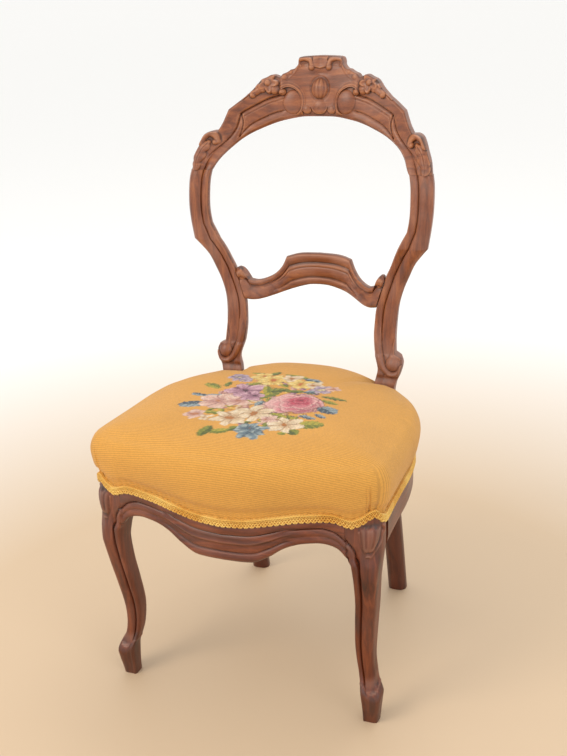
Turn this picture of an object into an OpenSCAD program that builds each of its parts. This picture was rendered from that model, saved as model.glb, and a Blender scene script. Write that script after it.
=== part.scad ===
// Balloon back dining chair with a carved walnut frame and a sprung, needlepoint covered seat.
// Units are millimetres. X runs to the sitter's left, the front faces -Y and Z is up.
// The origin lies on the floor, in the middle of the chair's box.

/* [Overall] */
// Height to the tips of the crest
chair_h = 944; // [900:1:990]
// Depth from the front of the seat cover to the back of the crest
chair_d = 522; // [505:1:550]

/* [Back] */
// Width across the widest part of the balloon frame, as a share of the seat frame's width
back_share = 0.928; // [0.88:0.001:0.98]
// Thickness of the balloon frame
back_t = 28; // [24:0.5:34]
// Lean of the back
rake = 10; // [6:0.5:13]
// How far the back curves round the sitter
back_bow = 58; // [40:1:70]
// Height of the joints between the crest and the posts, as a share of the back's height
crest_joint_share = 0.693; // [0.68:0.001:0.705]
// Depth of the moulding worked on the front of the frame
mould_depth = 5.5; // [3:0.5:7]
// How far the carving stands out from the crest
carving_depth = 9; // [4:0.5:12]

/* [Cross rail] */
// Height of the top of the cross rail at its middle, as a share of the back's height
cross_top_share = 0.4345; // [0.41:0.0005:0.46]
// Height of the wood of the cross rail at its middle
cross_h = 52; // [44:1:58]
// Thickness of the cross rail
cross_t = 22; // [18:0.5:26]
// How far the cross rail curves back between the posts
cross_bow = 52; // [30:1:60]

/* [Rear legs] */
// Width of a rear leg at the seat
post_w = 32; // [28:0.5:36]
// Distance between the middles of the rear legs, as a share of the seat frame's width
post_share = 0.595; // [0.575:0.001:0.61]
// Depth of a rear leg at the seat
post_d = 36; // [32:0.5:40]
// How far the rear foot stands behind its seat joint
rear_splay = 74; // [50:1:85]

/* [Seat frame] */
// Height of the top of the seat rails
rail_top = 371; // [360:1:380]
// Height of the lower edge of the side rails
rail_low = 290; // [280:1:298]
// Width across the outer faces of the front legs
frame_w = 457; // [440:1:470]
// Distance from the front rail's face to the face of the back rail
frame_d = 391; // [380:1:402]
// Thickness of the seat rails
rail_t = 27; // [24:0.5:31]
// Height at which the webbing is tacked under the rails
web_z = 306; // [302:1:309]
// Depth of the rebate that takes the cover
rebate = 4; // [3:0.5:5]
// Height of the bottom of the front rail at its middle
apron_z = 268; // [260:1:276]
// Height of the arches at either side of the front rail
arch_z = 307; // [298:1:312]

/* [Front legs] */
// Width of the bottom of a front foot
foot_w = 23; // [20:0.5:28]
// Distance between the middles of the front feet, as a share of the seat frame's width
foot_share = 0.902; // [0.88:0.001:0.92]
// Thickness of the leg at its slimmest
ankle_w = 26; // [23:0.5:30]
// Size of the block at the top of a front leg
leg_block = 48; // [44:0.5:51]

/* [Joinery] */
// Diameter of the dowels
dowel_d = 9.6; // [8:0.1:10.4]
// Length of the seat frame dowels
dowel_len = 36; // [30:1:38]
// Clearance of each dowel and screw in its hole
fit = 0.15; // [0.05:0.05:0.3]
// Glue line between two pieces of wood
glue = 0.25; // [0.2:0.05:0.4]
// Diameter of the corner block screws
screw_d = 4; // [3.5:0.1:4.5]
// Thickness of the corner blocks
block_t = 34; // [28:1:38]

/* [Springs] */
// Width of the webbing
web_w = 50; // [40:1:56]
// Thickness of the webbing
web_t = 1.6; // [1.2:0.1:2]
// Diameter of the spring wire
wire_d = 3.4; // [2.8:0.1:4]
// Diameter of a spring at its ends
spring_d = 70; // [60:1:78]
// Diameter of a spring at its waist
waist_d = 44; // [38:1:50]
// Curls in each spring
curls = 5; // [4:1:5]

/* [Upholstery] */
// Height of the crown of the seat
crown_z = 449; // [440:1:458]
// Height of the seat's rounded edge
edge_z = 425; // [416:1:430]
// How far the cover bulges beyond the frame at the sides
bulge = 13; // [8:0.5:16]
// How far the back edge of the seat rises to its middle
back_lift = 17; // [0:1:18]
// Thickness of the needlepoint cover
cover_t = 1.8; // [1.4:0.1:2.2]
// Width of the gimp braid
gimp_w = 10.5; // [8:0.5:11]
// Thickness of the gimp braid
gimp_t = 3.6; // [2.6:0.1:4]

/* [Hidden] */

CUSP = 1;
half_frame = frame_w / 2;
half_back = half_frame * back_share;
post_x = half_frame * post_share;
foot_x = half_frame * foot_share;
back_h = chair_h - rail_top;
crest_joint_z = back_z(crest_joint_share);
cross_top_z = back_z(cross_top_share);
front_y = bulge * 0.75 - chair_d / 2;
back_rail_y = front_y + frame_d;
post_back_gap = post_d * 0.88;
post_y = back_rail_y - post_back_gap;
leg_in_x = half_frame - leg_block;
leg_back_y = front_y + frame_d * 0.111 + leg_block * 0.82;
soft_gap = 0.3;
hessian_t = 1.2;
hessian_rise = 17;
hessian_rim_z = rail_top + soft_gap;

walnut = "#7c4a36";
dark_walnut = "#5c3828";
beech = "#b98d62";
wool = "#dba04a";
braid = "#efb843";

// Curves through a few rows of [place, value, cusp]: smooth, but for the rows marked as a cusp.
function lerp(a, b, t) = a + (b - a) * t;
function ease(t) = let (u = min(max(t, 0), 1)) u * u * (3 - 2 * u);
function row_at(rows, t, i = 0) = i >= len(rows) - 2 || t < rows[i + 1][0] ? i : row_at(rows, t, i + 1);
function rise(rows, i, k) = (rows[k][1] - rows[i][1]) / (rows[k][0] - rows[i][0]);
function tangent(rows, i, j) =
    i == 0 || i == len(rows) - 1 || rows[i][2] == CUSP
        ? rise(rows, min(i, j), max(i, j))
        : rise(rows, i - 1, i + 1);
function curve(rows, t) =
    let (i = row_at(rows, t), a = rows[i], b = rows[i + 1], h = b[0] - a[0], u = (t - a[0]) / h)
    a[1] * (2 * pow(u, 3) - 3 * u * u + 1) + tangent(rows, i, i + 1) * h * (pow(u, 3) - 2 * u * u + u)
    + b[1] * (3 * u * u - 2 * pow(u, 3)) + tangent(rows, i + 1, i) * h * (pow(u, 3) - u * u);
function stations(rows, steps) = concat(
    [for (i = [0 : len(rows) - 2]) for (k = [0 : steps - 1]) lerp(rows[i][0], rows[i + 1][0], k / steps)],
    [rows[len(rows) - 1][0]]);
function reversed(list) = [for (i = [len(list) - 1 : -1 : 0]) list[i]];
function mean(points) =
    [for (axis = [0 : 2]) [for (p = points) 1] * [for (p = points) p[axis]] / len(points)];

// A solid through closed rings of points, with a fan over each end.
module skin(rings) {
    n = len(rings[0]);
    last = len(rings) - 1;
    points = concat([for (r = rings) each r], [mean(rings[0]), mean(rings[last])]);
    sides = [for (i = [0 : last - 1]) for (k = [0 : n - 1])
        let (a = i * n + k, b = i * n + (k + 1) % n) each [[b, a, a + n], [b + n, b, a + n]]];
    ends = [for (k = [0 : n - 1])
        let (j = (k + 1) % n, end = last * n) each [[end + n, k, j], [end + n + 1, end + j, end + k]]];
    polyhedron(points, concat(sides, ends));
}

// A domed shell or pad between its outer rows and its inner ones, which share their lowest row.
module dome_shell(outer, inner) {
    skin(concat(reversed(inner), outer));
}

// The back

// Front face of the back: it leans, curves round the sitter, and meets the seat frame at the posts.
function leaning_y(x, z) =
    chair_d / 2 - back_t - (chair_h - z) * tan(rake) - back_bow * pow(x / half_back, 2);
post_shift = post_y - leaning_y(post_x, rail_top);
function back_y(x, z) = leaning_y(x, z) + post_shift * pow((chair_h - z) / back_h, 2);
function back_z(share) = rail_top + share * back_h;

// Outer edge of a post above the seat: share of the back's height, then of half its width.
post_outer_shares = [
    [0, 0.717], [0.06, 0.72], [0.1, 0.735], [0.14, 0.77], [0.168, 0.781], [0.184, 0.764, 1],
    [0.192, 0.718, 1], [0.225, 0.712], [0.276, 0.717], [0.325, 0.731], [0.368, 0.764],
    [0.405, 0.807], [0.4415, 0.854], [0.471, 0.915], [0.491, 0.962, 1], [0.546, 0.986],
    [0.588, 0.998], [0.63, 1], [0.668, 0.995], [0.7, 0.978]];
// Inner edge of a post above the seat, in the same shares.
post_inner_shares = [
    [0, 0.566], [0.1, 0.57], [0.138, 0.587], [0.18, 0.557], [0.225, 0.5415], [0.262, 0.5415],
    [0.305, 0.55], [0.345, 0.58], [0.38, 0.612], [0.405, 0.632], [0.431, 0.665], [0.468, 0.707],
    [0.504, 0.755], [0.537, 0.805, 1], [0.562, 0.818], [0.59, 0.8255], [0.632, 0.8255],
    [0.665, 0.82], [0.7, 0.802]];
// Front of a rear leg below the seat: share of the seat's height, then of the splay.
rear_leg_shares = [[0, 1], [0.25, 0.73], [0.5, 0.42], [0.75, 0.14], [0.9, 0.03], [1, 0], [1.3, 0]];
// Depth of the moulding across a post, from its inner edge to its outer one.
post_mould_shares = [
    [0, 0.9], [0.04, 0.35], [0.1, 0.15], [0.2, 0.2], [0.29, 0.45], [0.37, 1], [0.45, 0.5], [0.54, 0.2],
    [0.64, 0.05], [0.76, 0], [0.87, 0.2], [0.95, 0.7], [1, 1.5]];
// The same across the crest, which has a raised panel between two grooves.
crest_mould_shares = [
    [0, 0.9], [0.04, 0.35], [0.1, 0.3], [0.15, 0.8], [0.2, 0.35], [0.3, 0.15], [0.45, 0.2], [0.54, 0.5],
    [0.6, 1], [0.67, 0.35], [0.8, 0], [0.92, 0.15], [1, 0.8]];
// The back of a post and of the crest behind that, with rounded corners.
post_back_shares = [[1, 0.6], [0.86, 1], [0.2, 1], [0, 0.45]];
crest_back_shares = [[1, 0.9], [0.96, 1], [0.2, 1], [0, 0.45]];

function post_out(z) =
    z < rail_top ? post_x + post_w / 2 : half_back * curve(post_outer_shares, (z - rail_top) / back_h);
function post_in(z) =
    z < rail_top ? post_x - post_w / 2 : half_back * curve(post_inner_shares, (z - rail_top) / back_h);
function leg_front_y(z) = post_y + rear_splay * curve(rear_leg_shares, z / rail_top);
function above_seat(z) = ease((z - rail_top) / (crown_z - rail_top));
// A post's face is square across; it follows the back's curve at its middle low down, at its edge above.
function post_face(z) =
    let (a = post_in(z), b = post_out(z), up = ease((z - crown_z) / (crest_joint_z - crown_z)))
    lerp(leg_front_y(z), back_y(lerp((a + b) / 2, b, up), z), above_seat(z));
function post_depth(z) = lerp(lerp(post_w, post_d, ease(z / rail_low)), back_t, above_seat(z));

// The scroll that ends the moulding at the foot of a post.
volute_z = back_z(0.152);
volute_x = half_back * 0.7;
volute_r = post_w * 0.42;
function volute(x, z) =
    let (q = norm([x - volute_x, z - volute_z]) / volute_r)
    q > 1 ? 0 : mould_depth * 0.9 * (q < 0.35 ? 1 : 0.35 + 0.65 * abs(cos(q * 300)));

function post_ring(z) =
    let (a = post_in(z), b = post_out(z), y = post_face(z), m = mould_depth * lerp(0.15, 1, above_seat(z)))
    concat(
        [for (s = post_mould_shares) let (x = lerp(a, b, s[0])) [x, y + m * s[1] - volute(x, z), z]],
        [for (s = post_back_shares) [lerp(a, b, s[0]), y + post_depth(z) * s[1], z]]);

post_levels = concat(
    [for (k = [0 : 8]) rail_top * k / 9],
    [for (s = stations(post_outer_shares, 2)) min(back_z(s), crest_joint_z - glue)]);
post_heights = [for (i = [0 : len(post_levels) - 1])
    if (i == 0 || post_levels[i] > post_levels[i - 1] + glue) post_levels[i]];

// Height, then offset from the post's middle, of the dowels that join the seat rails to the legs.
dowel_zs = [lerp(rail_low, rail_top, 0.32), lerp(rail_low, rail_top, 0.76)];
side_dowel_x = post_x + post_w * 0.28;
side_dowel_len = dowel_len * 0.86;
side_dowel_y = post_y + dowel_len * 0.05;
back_dowel_x = post_x - post_w / 2;
cross_dowel_len = dowel_len * 0.66;
back_dowel_y = post_y + post_d * 0.52;
cross_dowel_z = cross_top_z - cross_h * 1.06;
cross_dowel_y = post_face(cross_dowel_z) + cross_t * 0.6;
crest_dowel_x = (post_in(crest_joint_z) + post_out(crest_joint_z)) / 2;
crest_dowel_y = post_face(crest_joint_z) + back_t * 0.55;

module dowel_hole(at, turn, length) {
    translate(at) rotate(turn) cylinder(d = dowel_d + 2 * fit, h = length + 2 * fit, center = true, $fn = 32);
}

module dowel(at, turn, length) {
    translate(at) rotate(turn) cylinder(d = dowel_d, h = length, center = true, $fn = 32);
}

along_x = [0, 90, 0];
along_y = [90, 0, 0];
upright = [0, 0, 0];

module back_post() {
    color(walnut) difference() {
        skin([for (z = post_heights) post_ring(z)]);
        side_post_holes();
        back_post_holes();
        cross_holes();
        crest_holes();
    }
}

module side_post_holes() {
    for (z = dowel_zs) dowel_hole([side_dowel_x, side_dowel_y, z], along_y, side_dowel_len);
}

module back_post_holes() {
    for (z = dowel_zs) dowel_hole([back_dowel_x, back_dowel_y, z], along_x, dowel_len);
}

module cross_holes() {
    dowel_hole([post_in(cross_dowel_z), cross_dowel_y, cross_dowel_z], along_x, cross_dowel_len);
}

module crest_holes() {
    dowel_hole([crest_dowel_x, crest_dowel_y, crest_joint_z], upright, dowel_len);
}

// The crest

// Outer edge of the crest from its joint to its middle: place, then shares of half the width and of
// the height above the joint.
crest_h = chair_h - crest_joint_z;
crest_outer_shares = [
    [0, [0.978, 0]], [2.5, [0.962, 0.108]], [4.5, [0.93, 0.2]], [6, [0.905, 0.272]],
    [7, [0.882, 0.317]], [8, [0.842, 0.341]], [9, [0.794, 0.338], 1], [10.5, [0.76, 0.405]],
    [13, [0.716, 0.532], 1], [16, [0.625, 0.614]], [18, [0.556, 0.668], 1], [20, [0.482, 0.768]],
    [22, [0.398, 0.823]], [24, [0.322, 0.806], 1], [26, [0.262, 0.86]], [28, [0.212, 0.885]],
    [29, [0.19, 0.93]], [30, [0.189, 0.985], 1], [33, [0.094, 0.994]], [36, [0, 1]]];
// Inner edge of the crest, the top of the balloon, at the same places.
crest_inner_shares = [
    [0, [0.802, 0]], [4.5, [0.745, 0.114]], [9, [0.66, 0.216]], [13, [0.566, 0.293]],
    [18, [0.439, 0.361]], [22, [0.325, 0.408]], [26, [0.21, 0.438]], [30, [0.126, 0.452]],
    [36, [0, 0.4545]]];

function crest_point(shares) = [half_back * shares[0], crest_joint_z + crest_h * shares[1]];

// Carved forms: an oval boss, a ring, and their places as shares of half the width and the height.
function round_over(q, h) = q <= 0 ? 0 : h * sqrt(q);
function boss(p, at, rx, rz, h) =
    round_over(1 - pow((p[0] - at[0]) / rx, 2) - pow((p[1] - at[1]) / rz, 2), h);
function ring(p, at, r, w, h) = round_over(1 - pow((norm(p - at) - r) / w, 2), h);

carve_unit = half_back / 20;
cabochon_at = crest_point([0, 0.71]);
lobe_at = crest_point([0, 0.545]);
disc_at = crest_point([0.21, 0.6]);
rosette_at = crest_point([0.41, 0.74]);
ear_at = crest_point([0.07, 0.91]);
leaf_at = crest_point([0.86, 0.27]);

// How far the carving stands out at a point of the crest's right or left half.
function carving(x, z) =
    let (p = [abs(x), z], h = carving_depth)
    max([
        boss(p, cabochon_at, carve_unit * 1.45, carve_unit * 1.9, h * 1.15),
        boss(p, lobe_at, carve_unit * 1.3, carve_unit, h * 0.7),
        boss(p, disc_at, carve_unit * 1.6, carve_unit * 1.6, h * 0.5),
        ring(p, disc_at, carve_unit * 1.95, carve_unit * 0.5, h * 0.8),
        boss(p, rosette_at, carve_unit * 1.6, carve_unit * 1.4, h),
        boss(p, ear_at, carve_unit * 0.75, carve_unit * 0.75, h * 0.8),
        boss(p, leaf_at, carve_unit * 1.2, carve_unit * 2.6, h * 0.55)]);

// Share of a station that belongs to the shield in the middle of the crest, which has no moulding.
function shield(t) = ease((t - 16) / 7);

across = 16;
function crest_mould(v, t) =
    let (s = ease(t / 10), a = curve(post_mould_shares, v), b = curve(crest_mould_shares, v))
    lerp(lerp(a, b, s), 0.25 + 0.75 * pow(abs(2 * v - 1), 6), shield(t));

// The crest's face: square across at the joints like the posts, then curved in plan.
function crest_face(x, edge_x, z, t) = back_y(lerp(edge_x, x, ease(t / 9)), z);
function crest_ring(t, side) =
    let (outer = crest_point(curve(crest_outer_shares, t)), inner = crest_point(curve(crest_inner_shares, t)))
    concat(
        [for (k = [0 : across])
            let (v = k / across, p = lerp(inner, outer, v),
                 depth = mould_depth * crest_mould(v, t) - carving(p[0], p[1]) * crest_edge(v))
            [side * p[0], crest_face(p[0], outer[0], p[1], t) + depth, p[1]]],
        [for (s = lerp(post_back_shares, crest_back_shares, ease(t / 7)))
            let (p = lerp(inner, outer, s[0]))
            [side * p[0], crest_face(p[0], outer[0], p[1], t) + back_t * s[1], p[1]]]);
// The carving runs out to the crest's very edge but leaves its inner edge plain.
function crest_edge(v) = ease(v / 0.12);

crest_last = 36;
crest_places = [for (k = [0 : crest_last]) k];

module crest_rail() {
    color(walnut) difference() {
        skin(concat(
            [for (t = crest_places) crest_ring(t, 1)],
            [for (t = reversed(crest_places)) if (t < crest_last) crest_ring(t, -1)]));
        for (side = [1, -1]) mirror([side < 0 ? 1 : 0, 0, 0]) crest_holes();
    }
}

// The cross rail

// Upper edge: share of half its length, then of its height above the lowest point of the rail.
cross_low_z = cross_top_z - cross_h * 1.394;
cross_top_shares = [
    [0, 1], [0.24, 0.975], [0.427, 0.885, 1], [0.507, 0.645], [0.577, 0.517], [0.67, 0.435],
    [0.775, 0.408], [0.865, 0.47, 1], [0.89, 0.65], [0.93, 0.775], [0.97, 0.76], [1, 0.69]];
cross_low_shares = [
    [0, 0.283], [0.15, 0.265], [0.38, 0.165], [0.64, 0.05], [0.8, 0], [0.9, 0], [1, 0.03]];
cross_mould_shares = [
    [0, 0.8], [0.05, 0.3], [0.16, 0.1], [0.24, 0.75], [0.3, 0.3], [0.45, 0.1], [0.58, 0.25], [0.68, 1],
    [0.76, 0.35], [0.86, 0.05], [0.95, 0.2], [1, 0.8]];

function cross_z(share) = lerp(cross_low_z, cross_top_z, share);
function cross_y(x, z) =
    let (q = abs(x) / post_in(z))
    post_face(z) + cross_bow * (0.8 * (1 - ease((q - 0.3) / 0.7)) + 0.2 * (1 - pow(q, 2.3)));

function cross_point(t, z, depth) = let (x = t * (post_in(z) - 2 * glue)) [x, cross_y(x, z) + depth, z];
function cross_ring(t) =
    let (low = cross_z(curve(cross_low_shares, abs(t))), top = cross_z(curve(cross_top_shares, abs(t))))
    concat(
        [for (s = cross_mould_shares) cross_point(t, lerp(low, top, s[0]), mould_depth * 0.8 * s[1])],
        [for (s = [[1, 0.65], [0.88, 1], [0.12, 1], [0, 0.65]])
            cross_point(t, lerp(low, top, s[0]), cross_t * s[1])]);

module cross_rail() {
    places = stations(cross_top_shares, 2);
    color(walnut) difference() {
        skin(reversed(concat(
            [for (t = reversed(places)) if (t > 0) cross_ring(-t)], [for (t = places) cross_ring(t)])));
        for (side = [1, -1]) mirror([side < 0 ? 1 : 0, 0, 0]) cross_holes();
    }
}

// The seat frame

// Outer face of the seat frame: share of the way from the middle of the front to the rear leg, then
// shares of half the frame's width and of its depth.
plan_shares = [
    [0, [0, 0]], [0.0714, [0.175, 0.003]], [0.1429, [0.35, 0.018]], [0.1964, [0.482, 0.036]],
    [0.2446, [0.6, 0.05]], [0.2946, [0.722, 0.06]], [0.3214, [0.79, 0.066]], [0.3393, [0.832, 0.073]],
    [0.3839, [0.928, 0.095]], [0.4071, [0.976, 0.114]], [0.4286, [0.995, 0.136]], [0.4643, [1, 0.166]],
    [0.5357, [0.989, 0.271]], [0.625, [0.978, 0.4]], [0.7143, [0.971, 0.521]], [0.7857, [0.956, 0.616]],
    [0.8571, [0.922, 0.718]], [0.9286, [0.838, 0.82]], [1, [0.7, 1 - post_back_gap / frame_d]]];
// Lower edge of the cover at the same shares of the way, as a share of the height from the side's line.
hem_z = lerp(rail_low, rail_top, 0.58);
hem_shares = [
    [0, -0.32], [0.0714, -0.22], [0.1429, -0.02], [0.1964, 0.12], [0.2446, 0.2], [0.2732, 0.25], [0.3, 0.23],
    [0.3214, 0.1], [0.3393, 0.01, 1], [0.3661, 0.2], [0.4, 0.58], [0.425, 0.25, 1], [0.4643, 0.02],
    [0.5357, 0], [1, 0]];

plan_corner_share = 0.4286;
function plan(t) = let (s = curve(plan_shares, t)) [half_frame * s[0], front_y + frame_d * s[1]];
function plan_out(t) =
    let (e = 0.0002, a = plan(max(t - e, 0)), b = plan(min(t + e, 1)), d = (b - a) / norm(b - a))
    [d[1], -d[0]];
function hem(t) = hem_z + (rail_top - hem_z) * curve(hem_shares, t);
function face(t, out, z) = let (p = plan(t) + plan_out(t) * out) [p[0], p[1], z];

// Share of the way at which the outer face crosses a given x on the front, or y on the side.
function plan_search(want, axis, low, high, n = 18) =
    n == 0 ? (low + high) / 2
    : let (mid = (low + high) / 2) plan(mid)[axis] < want ? plan_search(want, axis, mid, high, n - 1)
    : plan_search(want, axis, low, mid, n - 1);

function share_at_x(x) = plan_search(x, 0, 0, plan_corner_share);
function share_at_y(y) = plan_search(y, 1, plan_corner_share, 1);
function front_at_y(x) = plan(share_at_x(x))[1];

// Where the pieces that meet along the face of the frame have their points.
crease_share = 0.3393;
corner_shares = [crease_share, 0.3643, 0.3821, 0.4, 0.425, 0.4464, 0.4732];
side_shares = [0.5357, 0.6071, 0.6786, 0.75, 0.8125, 0.8661, 0.9018, 0.9286];
rear_share = 0.9643;
leg_share = share_at_x(leg_in_x);
side_share = share_at_y(leg_back_y);
side_end = share_at_y(post_y - glue);

// Lower edge of the front rail: share of its half length, then of its height from the middle's.
apron_shares = [
    [0, 0], [0.17, 0.02], [0.28, 0.09], [0.4, 0.385, 1], [0.5, 0.7], [0.61, 0.89], [0.72, 0.975], [0.81, 1],
    [0.89, 0.93], [0.95, 0.78], [1, 0.5]];
// Moulding down the face of the front rail.
apron_mould_shares = [
    [0, 0.1], [0.2, 0], [0.4, 0.15], [0.5, 0.75], [0.57, 0.35], [0.66, 0.4], [0.73, 0.9], [0.8, 0.45],
    [0.92, 0.5], [1, 1]];

function apron(share) = lerp(apron_z, arch_z, curve(apron_shares, share));

function front_ring(share) =
    let (x = share * (leg_in_x - glue), t = share_at_x(abs(x)), y = plan(t)[1], h = hem(t),
         low = apron(abs(share)), ledge = max(web_z, low + glue))
    concat(
        [[x, y + rail_t, rail_top], [x, y + rebate, rail_top], [x, y + rebate, h]],
        [for (s = apron_mould_shares) [x, y + mould_depth * 0.9 * s[1], lerp(h, low, s[0])]],
        [[x, y + rail_t * 0.62, low], [x, y + rail_t * 0.62, ledge], [x, y + rail_t, ledge]]);

front_dowel_y = plan(leg_share)[1] + rail_t * 0.6;

module front_holes() {
    for (z = dowel_zs) dowel_hole([leg_in_x, front_dowel_y, z], along_x, dowel_len);
}

module front_seat_rail() {
    places = stations(apron_shares, 2);
    color(dark_walnut) difference() {
        skin(concat(
            [for (s = reversed(places)) if (s > 0) front_ring(-s)], [for (s = places) front_ring(s)]));
        for (side = [1, -1]) mirror([side < 0 ? 1 : 0, 0, 0]) {
            front_holes();
            front_block_screws(true);
        }
    }
}

// Inner face of a side rail, from the front leg to the rear one.
function inward(t) =
    let (a = plan(t), k = (t - side_share) / (side_end - side_share),
         n = -plan_out(t), lean = ease(k * 6) * (1 - ease((k - 0.72) / 0.28)),
         dir = [lerp(-1, n[0], lean), lerp(0, n[1], lean)])
    dir / norm(dir);
function side_in(t) =
    let (k = ease((t - lerp(side_share, side_end, 0.72)) / ((side_end - side_share) * 0.28)))
    rail_t * lerp(1, 1.15, k);

function side_ring(t) =
    let (p = plan(t), d = inward(t), w = side_in(t), h = hem(t), cut = rebate / (-plan_out(t) * d))
    [for (s = [[w, rail_top], [cut, rail_top], [cut, h], [0, h], [0, lerp(h, rail_low, 0.5)],
        [rebate * 0.4, lerp(h, rail_low, 0.9)], [rebate, rail_low], [w * 0.6, rail_low], [w * 0.6, web_z],
        [w, web_z]])
        [p[0] + d[0] * s[0], p[1] + d[1] * s[0], s[1]]];

side_front_dowel_x = plan(side_share)[0] - rail_t * 0.5;

module side_front_holes() {
    for (z = dowel_zs) dowel_hole([side_front_dowel_x, leg_back_y, z], along_y, dowel_len);
}

side_start = share_at_y(leg_back_y + glue);

module side_seat_rail() {
    color(dark_walnut) difference() {
        skin([for (t = concat([side_start], side_shares, [rear_share, side_end])) side_ring(t)]);
        side_front_holes();
        side_post_holes();
        side_block_screws(true);
    }
}

// Section of the back rail: its front, then up and over the rebate to the face behind.
back_rail_in = back_rail_y - rail_t - rebate * 0.4;
module back_seat_rail() {
    length = 2 * (post_x - post_w / 2 - glue);
    color(dark_walnut) difference() {
        rotate([90, 0, 90]) linear_extrude(length, center = true) polygon([
            [back_rail_in, rail_top], [back_rail_in, web_z], [back_rail_in + rail_t * 0.4, web_z],
            [back_rail_in + rail_t * 0.4, rail_low], [back_rail_y, rail_low], [back_rail_y, hem_z],
            [back_rail_y - rebate, hem_z], [back_rail_y - rebate, rail_top]]);
        for (side = [1, -1]) mirror([side < 0 ? 1 : 0, 0, 0]) {
            back_post_holes();
            back_block_screws(true);
        }
    }
}

// The front legs

// Leg below the seat: share of its height, then its middle as shares of the foot's distance from the
// middle and of the frame's depth, then its width and depth as shares of the ankle's.
leg_shares = [
    [0, [1, 0.152, foot_w / ankle_w, foot_w / ankle_w]], [0.07, [1.005, 0.148, 1, 0.96]],
    [0.145, [1.01, 0.144, 1.19, 1.19], 1], [0.165, [1.004, 0.147, 1.14, 1.14]],
    [0.205, [0.987, 0.1595, 1.02, 1]],
    [0.28, [0.966, 0.175, 1, 0.94]], [0.36, [0.952, 0.178, 1.03, 1]], [0.45, [0.953, 0.175, 1.12, 1.12]],
    [0.59, [0.971, 0.1595, 1.19, 1.23]], [0.72, [0.99, 0.143, 1.25, 1.31]], [0.86, [1, 0.1255, 1.37, 1.46]],
    [0.95, [1.002, 0.12, 1.55, 1.6]]];
// Section of the leg, with a groove down its front, as shares of its width and depth.
leg_ring_shares = [
    [-0.5, -0.36], [-0.42, -0.5], [-0.25, -0.47], [-0.17, -0.38], [-0.08, -0.47], [0.14, -0.5], [0.35, -0.46],
    [0.47, -0.34], [0.5, -0.05], [0.5, 0.28], [0.38, 0.48], [0, 0.5], [-0.38, 0.48], [-0.5, 0.28]];
// The same points on the seat's outer face: their shares of the way, then the groove's depth and how much the
// carved leaf on the knee lifts them, as shares.
leg_top_shares = [
    [leg_share, 0.3, 0], [lerp(leg_share, crease_share, 0.5), 0, 0], [crease_share, 0, 0], [0.35, 0.6, 0],
    [0.3643, 0, 0], [0.3821, 0, 0.1], [0.4, 0, 0.6], [0.425, 0, 1], [0.4464, 0, 1], [0.4732, 0, 0.3]];
leg_back_shares = [[0.93, 0], [0.5, 0], [0.1, 0], [0, 0.12]];
leaf_shares = [[0, 0.7], [0.33, 1], [0.67, 0.8], [1, 0]];
knee_z = rail_low;

function leg_low_ring(share) =
    let (z = share * knee_z, s = curve(leg_shares, share))
    [for (p = leg_ring_shares)
        [foot_x * s[0] + ankle_w * s[2] * p[0], front_y + frame_d * s[1] + ankle_w * s[3] * p[1], z]];
function leg_front_point(s, up, inset) =
    let (t = s[0], leaf = mould_depth * 0.9 * s[2] * curve(leaf_shares, up),
         p = face(t, leaf - max(inset, mould_depth * 0.8 * s[1] * (1 - up)), lerp(knee_z, hem(t), up)))
    t > leg_share ? p : [leg_in_x, plan(leg_share)[1] + max(inset, mould_depth * 0.5), p[2]];
function leg_back_point(s, up, inset) =
    [lerp(leg_in_x, plan(side_share)[0] - inset, s[0]), leg_back_y - leg_block * s[1],
     lerp(knee_z, hem_z, up) + inset];
function leg_top_ring(up, inset) = concat(
    [for (s = leg_top_shares) leg_front_point(s, up, inset)],
    [for (s = leg_back_shares) leg_back_point(s, up, inset)]);
function level(ring_points, z) = [for (p = ring_points) [p[0], p[1], z]];

module front_leg() {
    low = [for (s = stations(leg_shares, 2)) leg_low_ring(s)];
    middle = [for (k = [0 : 3]) leg_top_ring(k / 3, 0)];
    rebated = leg_top_ring(1, rebate);
    color(dark_walnut) difference() {
        skin(concat(low, middle, [rebated, level(rebated, rail_top)]));
        front_holes();
        side_front_holes();
    }
}

// The corner blocks, glued and screwed inside the frame

block_z = lerp(rail_low, rail_top, 0.62);
block_low = block_z - block_t / 2;
block_arm = leg_block * 1.05;
screw_len = rail_t * 1.25;
head_d = screw_d * 1.9;
head_h = screw_d * 0.6;

front_block_x = leg_in_x - block_arm;
front_screw_x = leg_in_x - block_arm * 0.55;
side_screw_y = leg_back_y + block_arm * 0.35;
block_side_share = lerp(side_start, side_end, 0.14);
function front_in_y(x) = front_at_y(x) + rail_t + glue;
side_in_x = plan(block_side_share)[0] - rail_t - glue;

module screw_shape(at, turn, hole) {
    gap = hole ? fit : 0;
    translate(at) rotate(turn) {
        cylinder(d = screw_d + 2 * gap, h = screw_len + gap, $fn = 24);
        translate([0, 0, -head_h]) cylinder(d = head_d + 2 * gap, h = head_h + gap, $fn = 24);
        if (hole) translate([0, 0, -leg_block]) cylinder(d = head_d + 2 * gap, h = leg_block, $fn = 24);
    }
}

module front_block_screws(hole) {
    screw_shape([front_screw_x, front_in_y(front_screw_x) + block_arm * 0.3, block_z], [90, 0, 0], hole);
}

module side_block_screws(hole) {
    screw_shape([side_in_x - block_arm * 0.3, side_screw_y, block_z], along_x, hole);
    screw_shape([rear_side_screw_x, rear_side_screw_y, block_z], along_x, hole);
}

module back_block_screws(hole) {
    screw_shape([rear_back_screw_x, back_rail_in - glue - block_arm * 0.22, block_z], [-90, 0, 0], hole);
}

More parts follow.
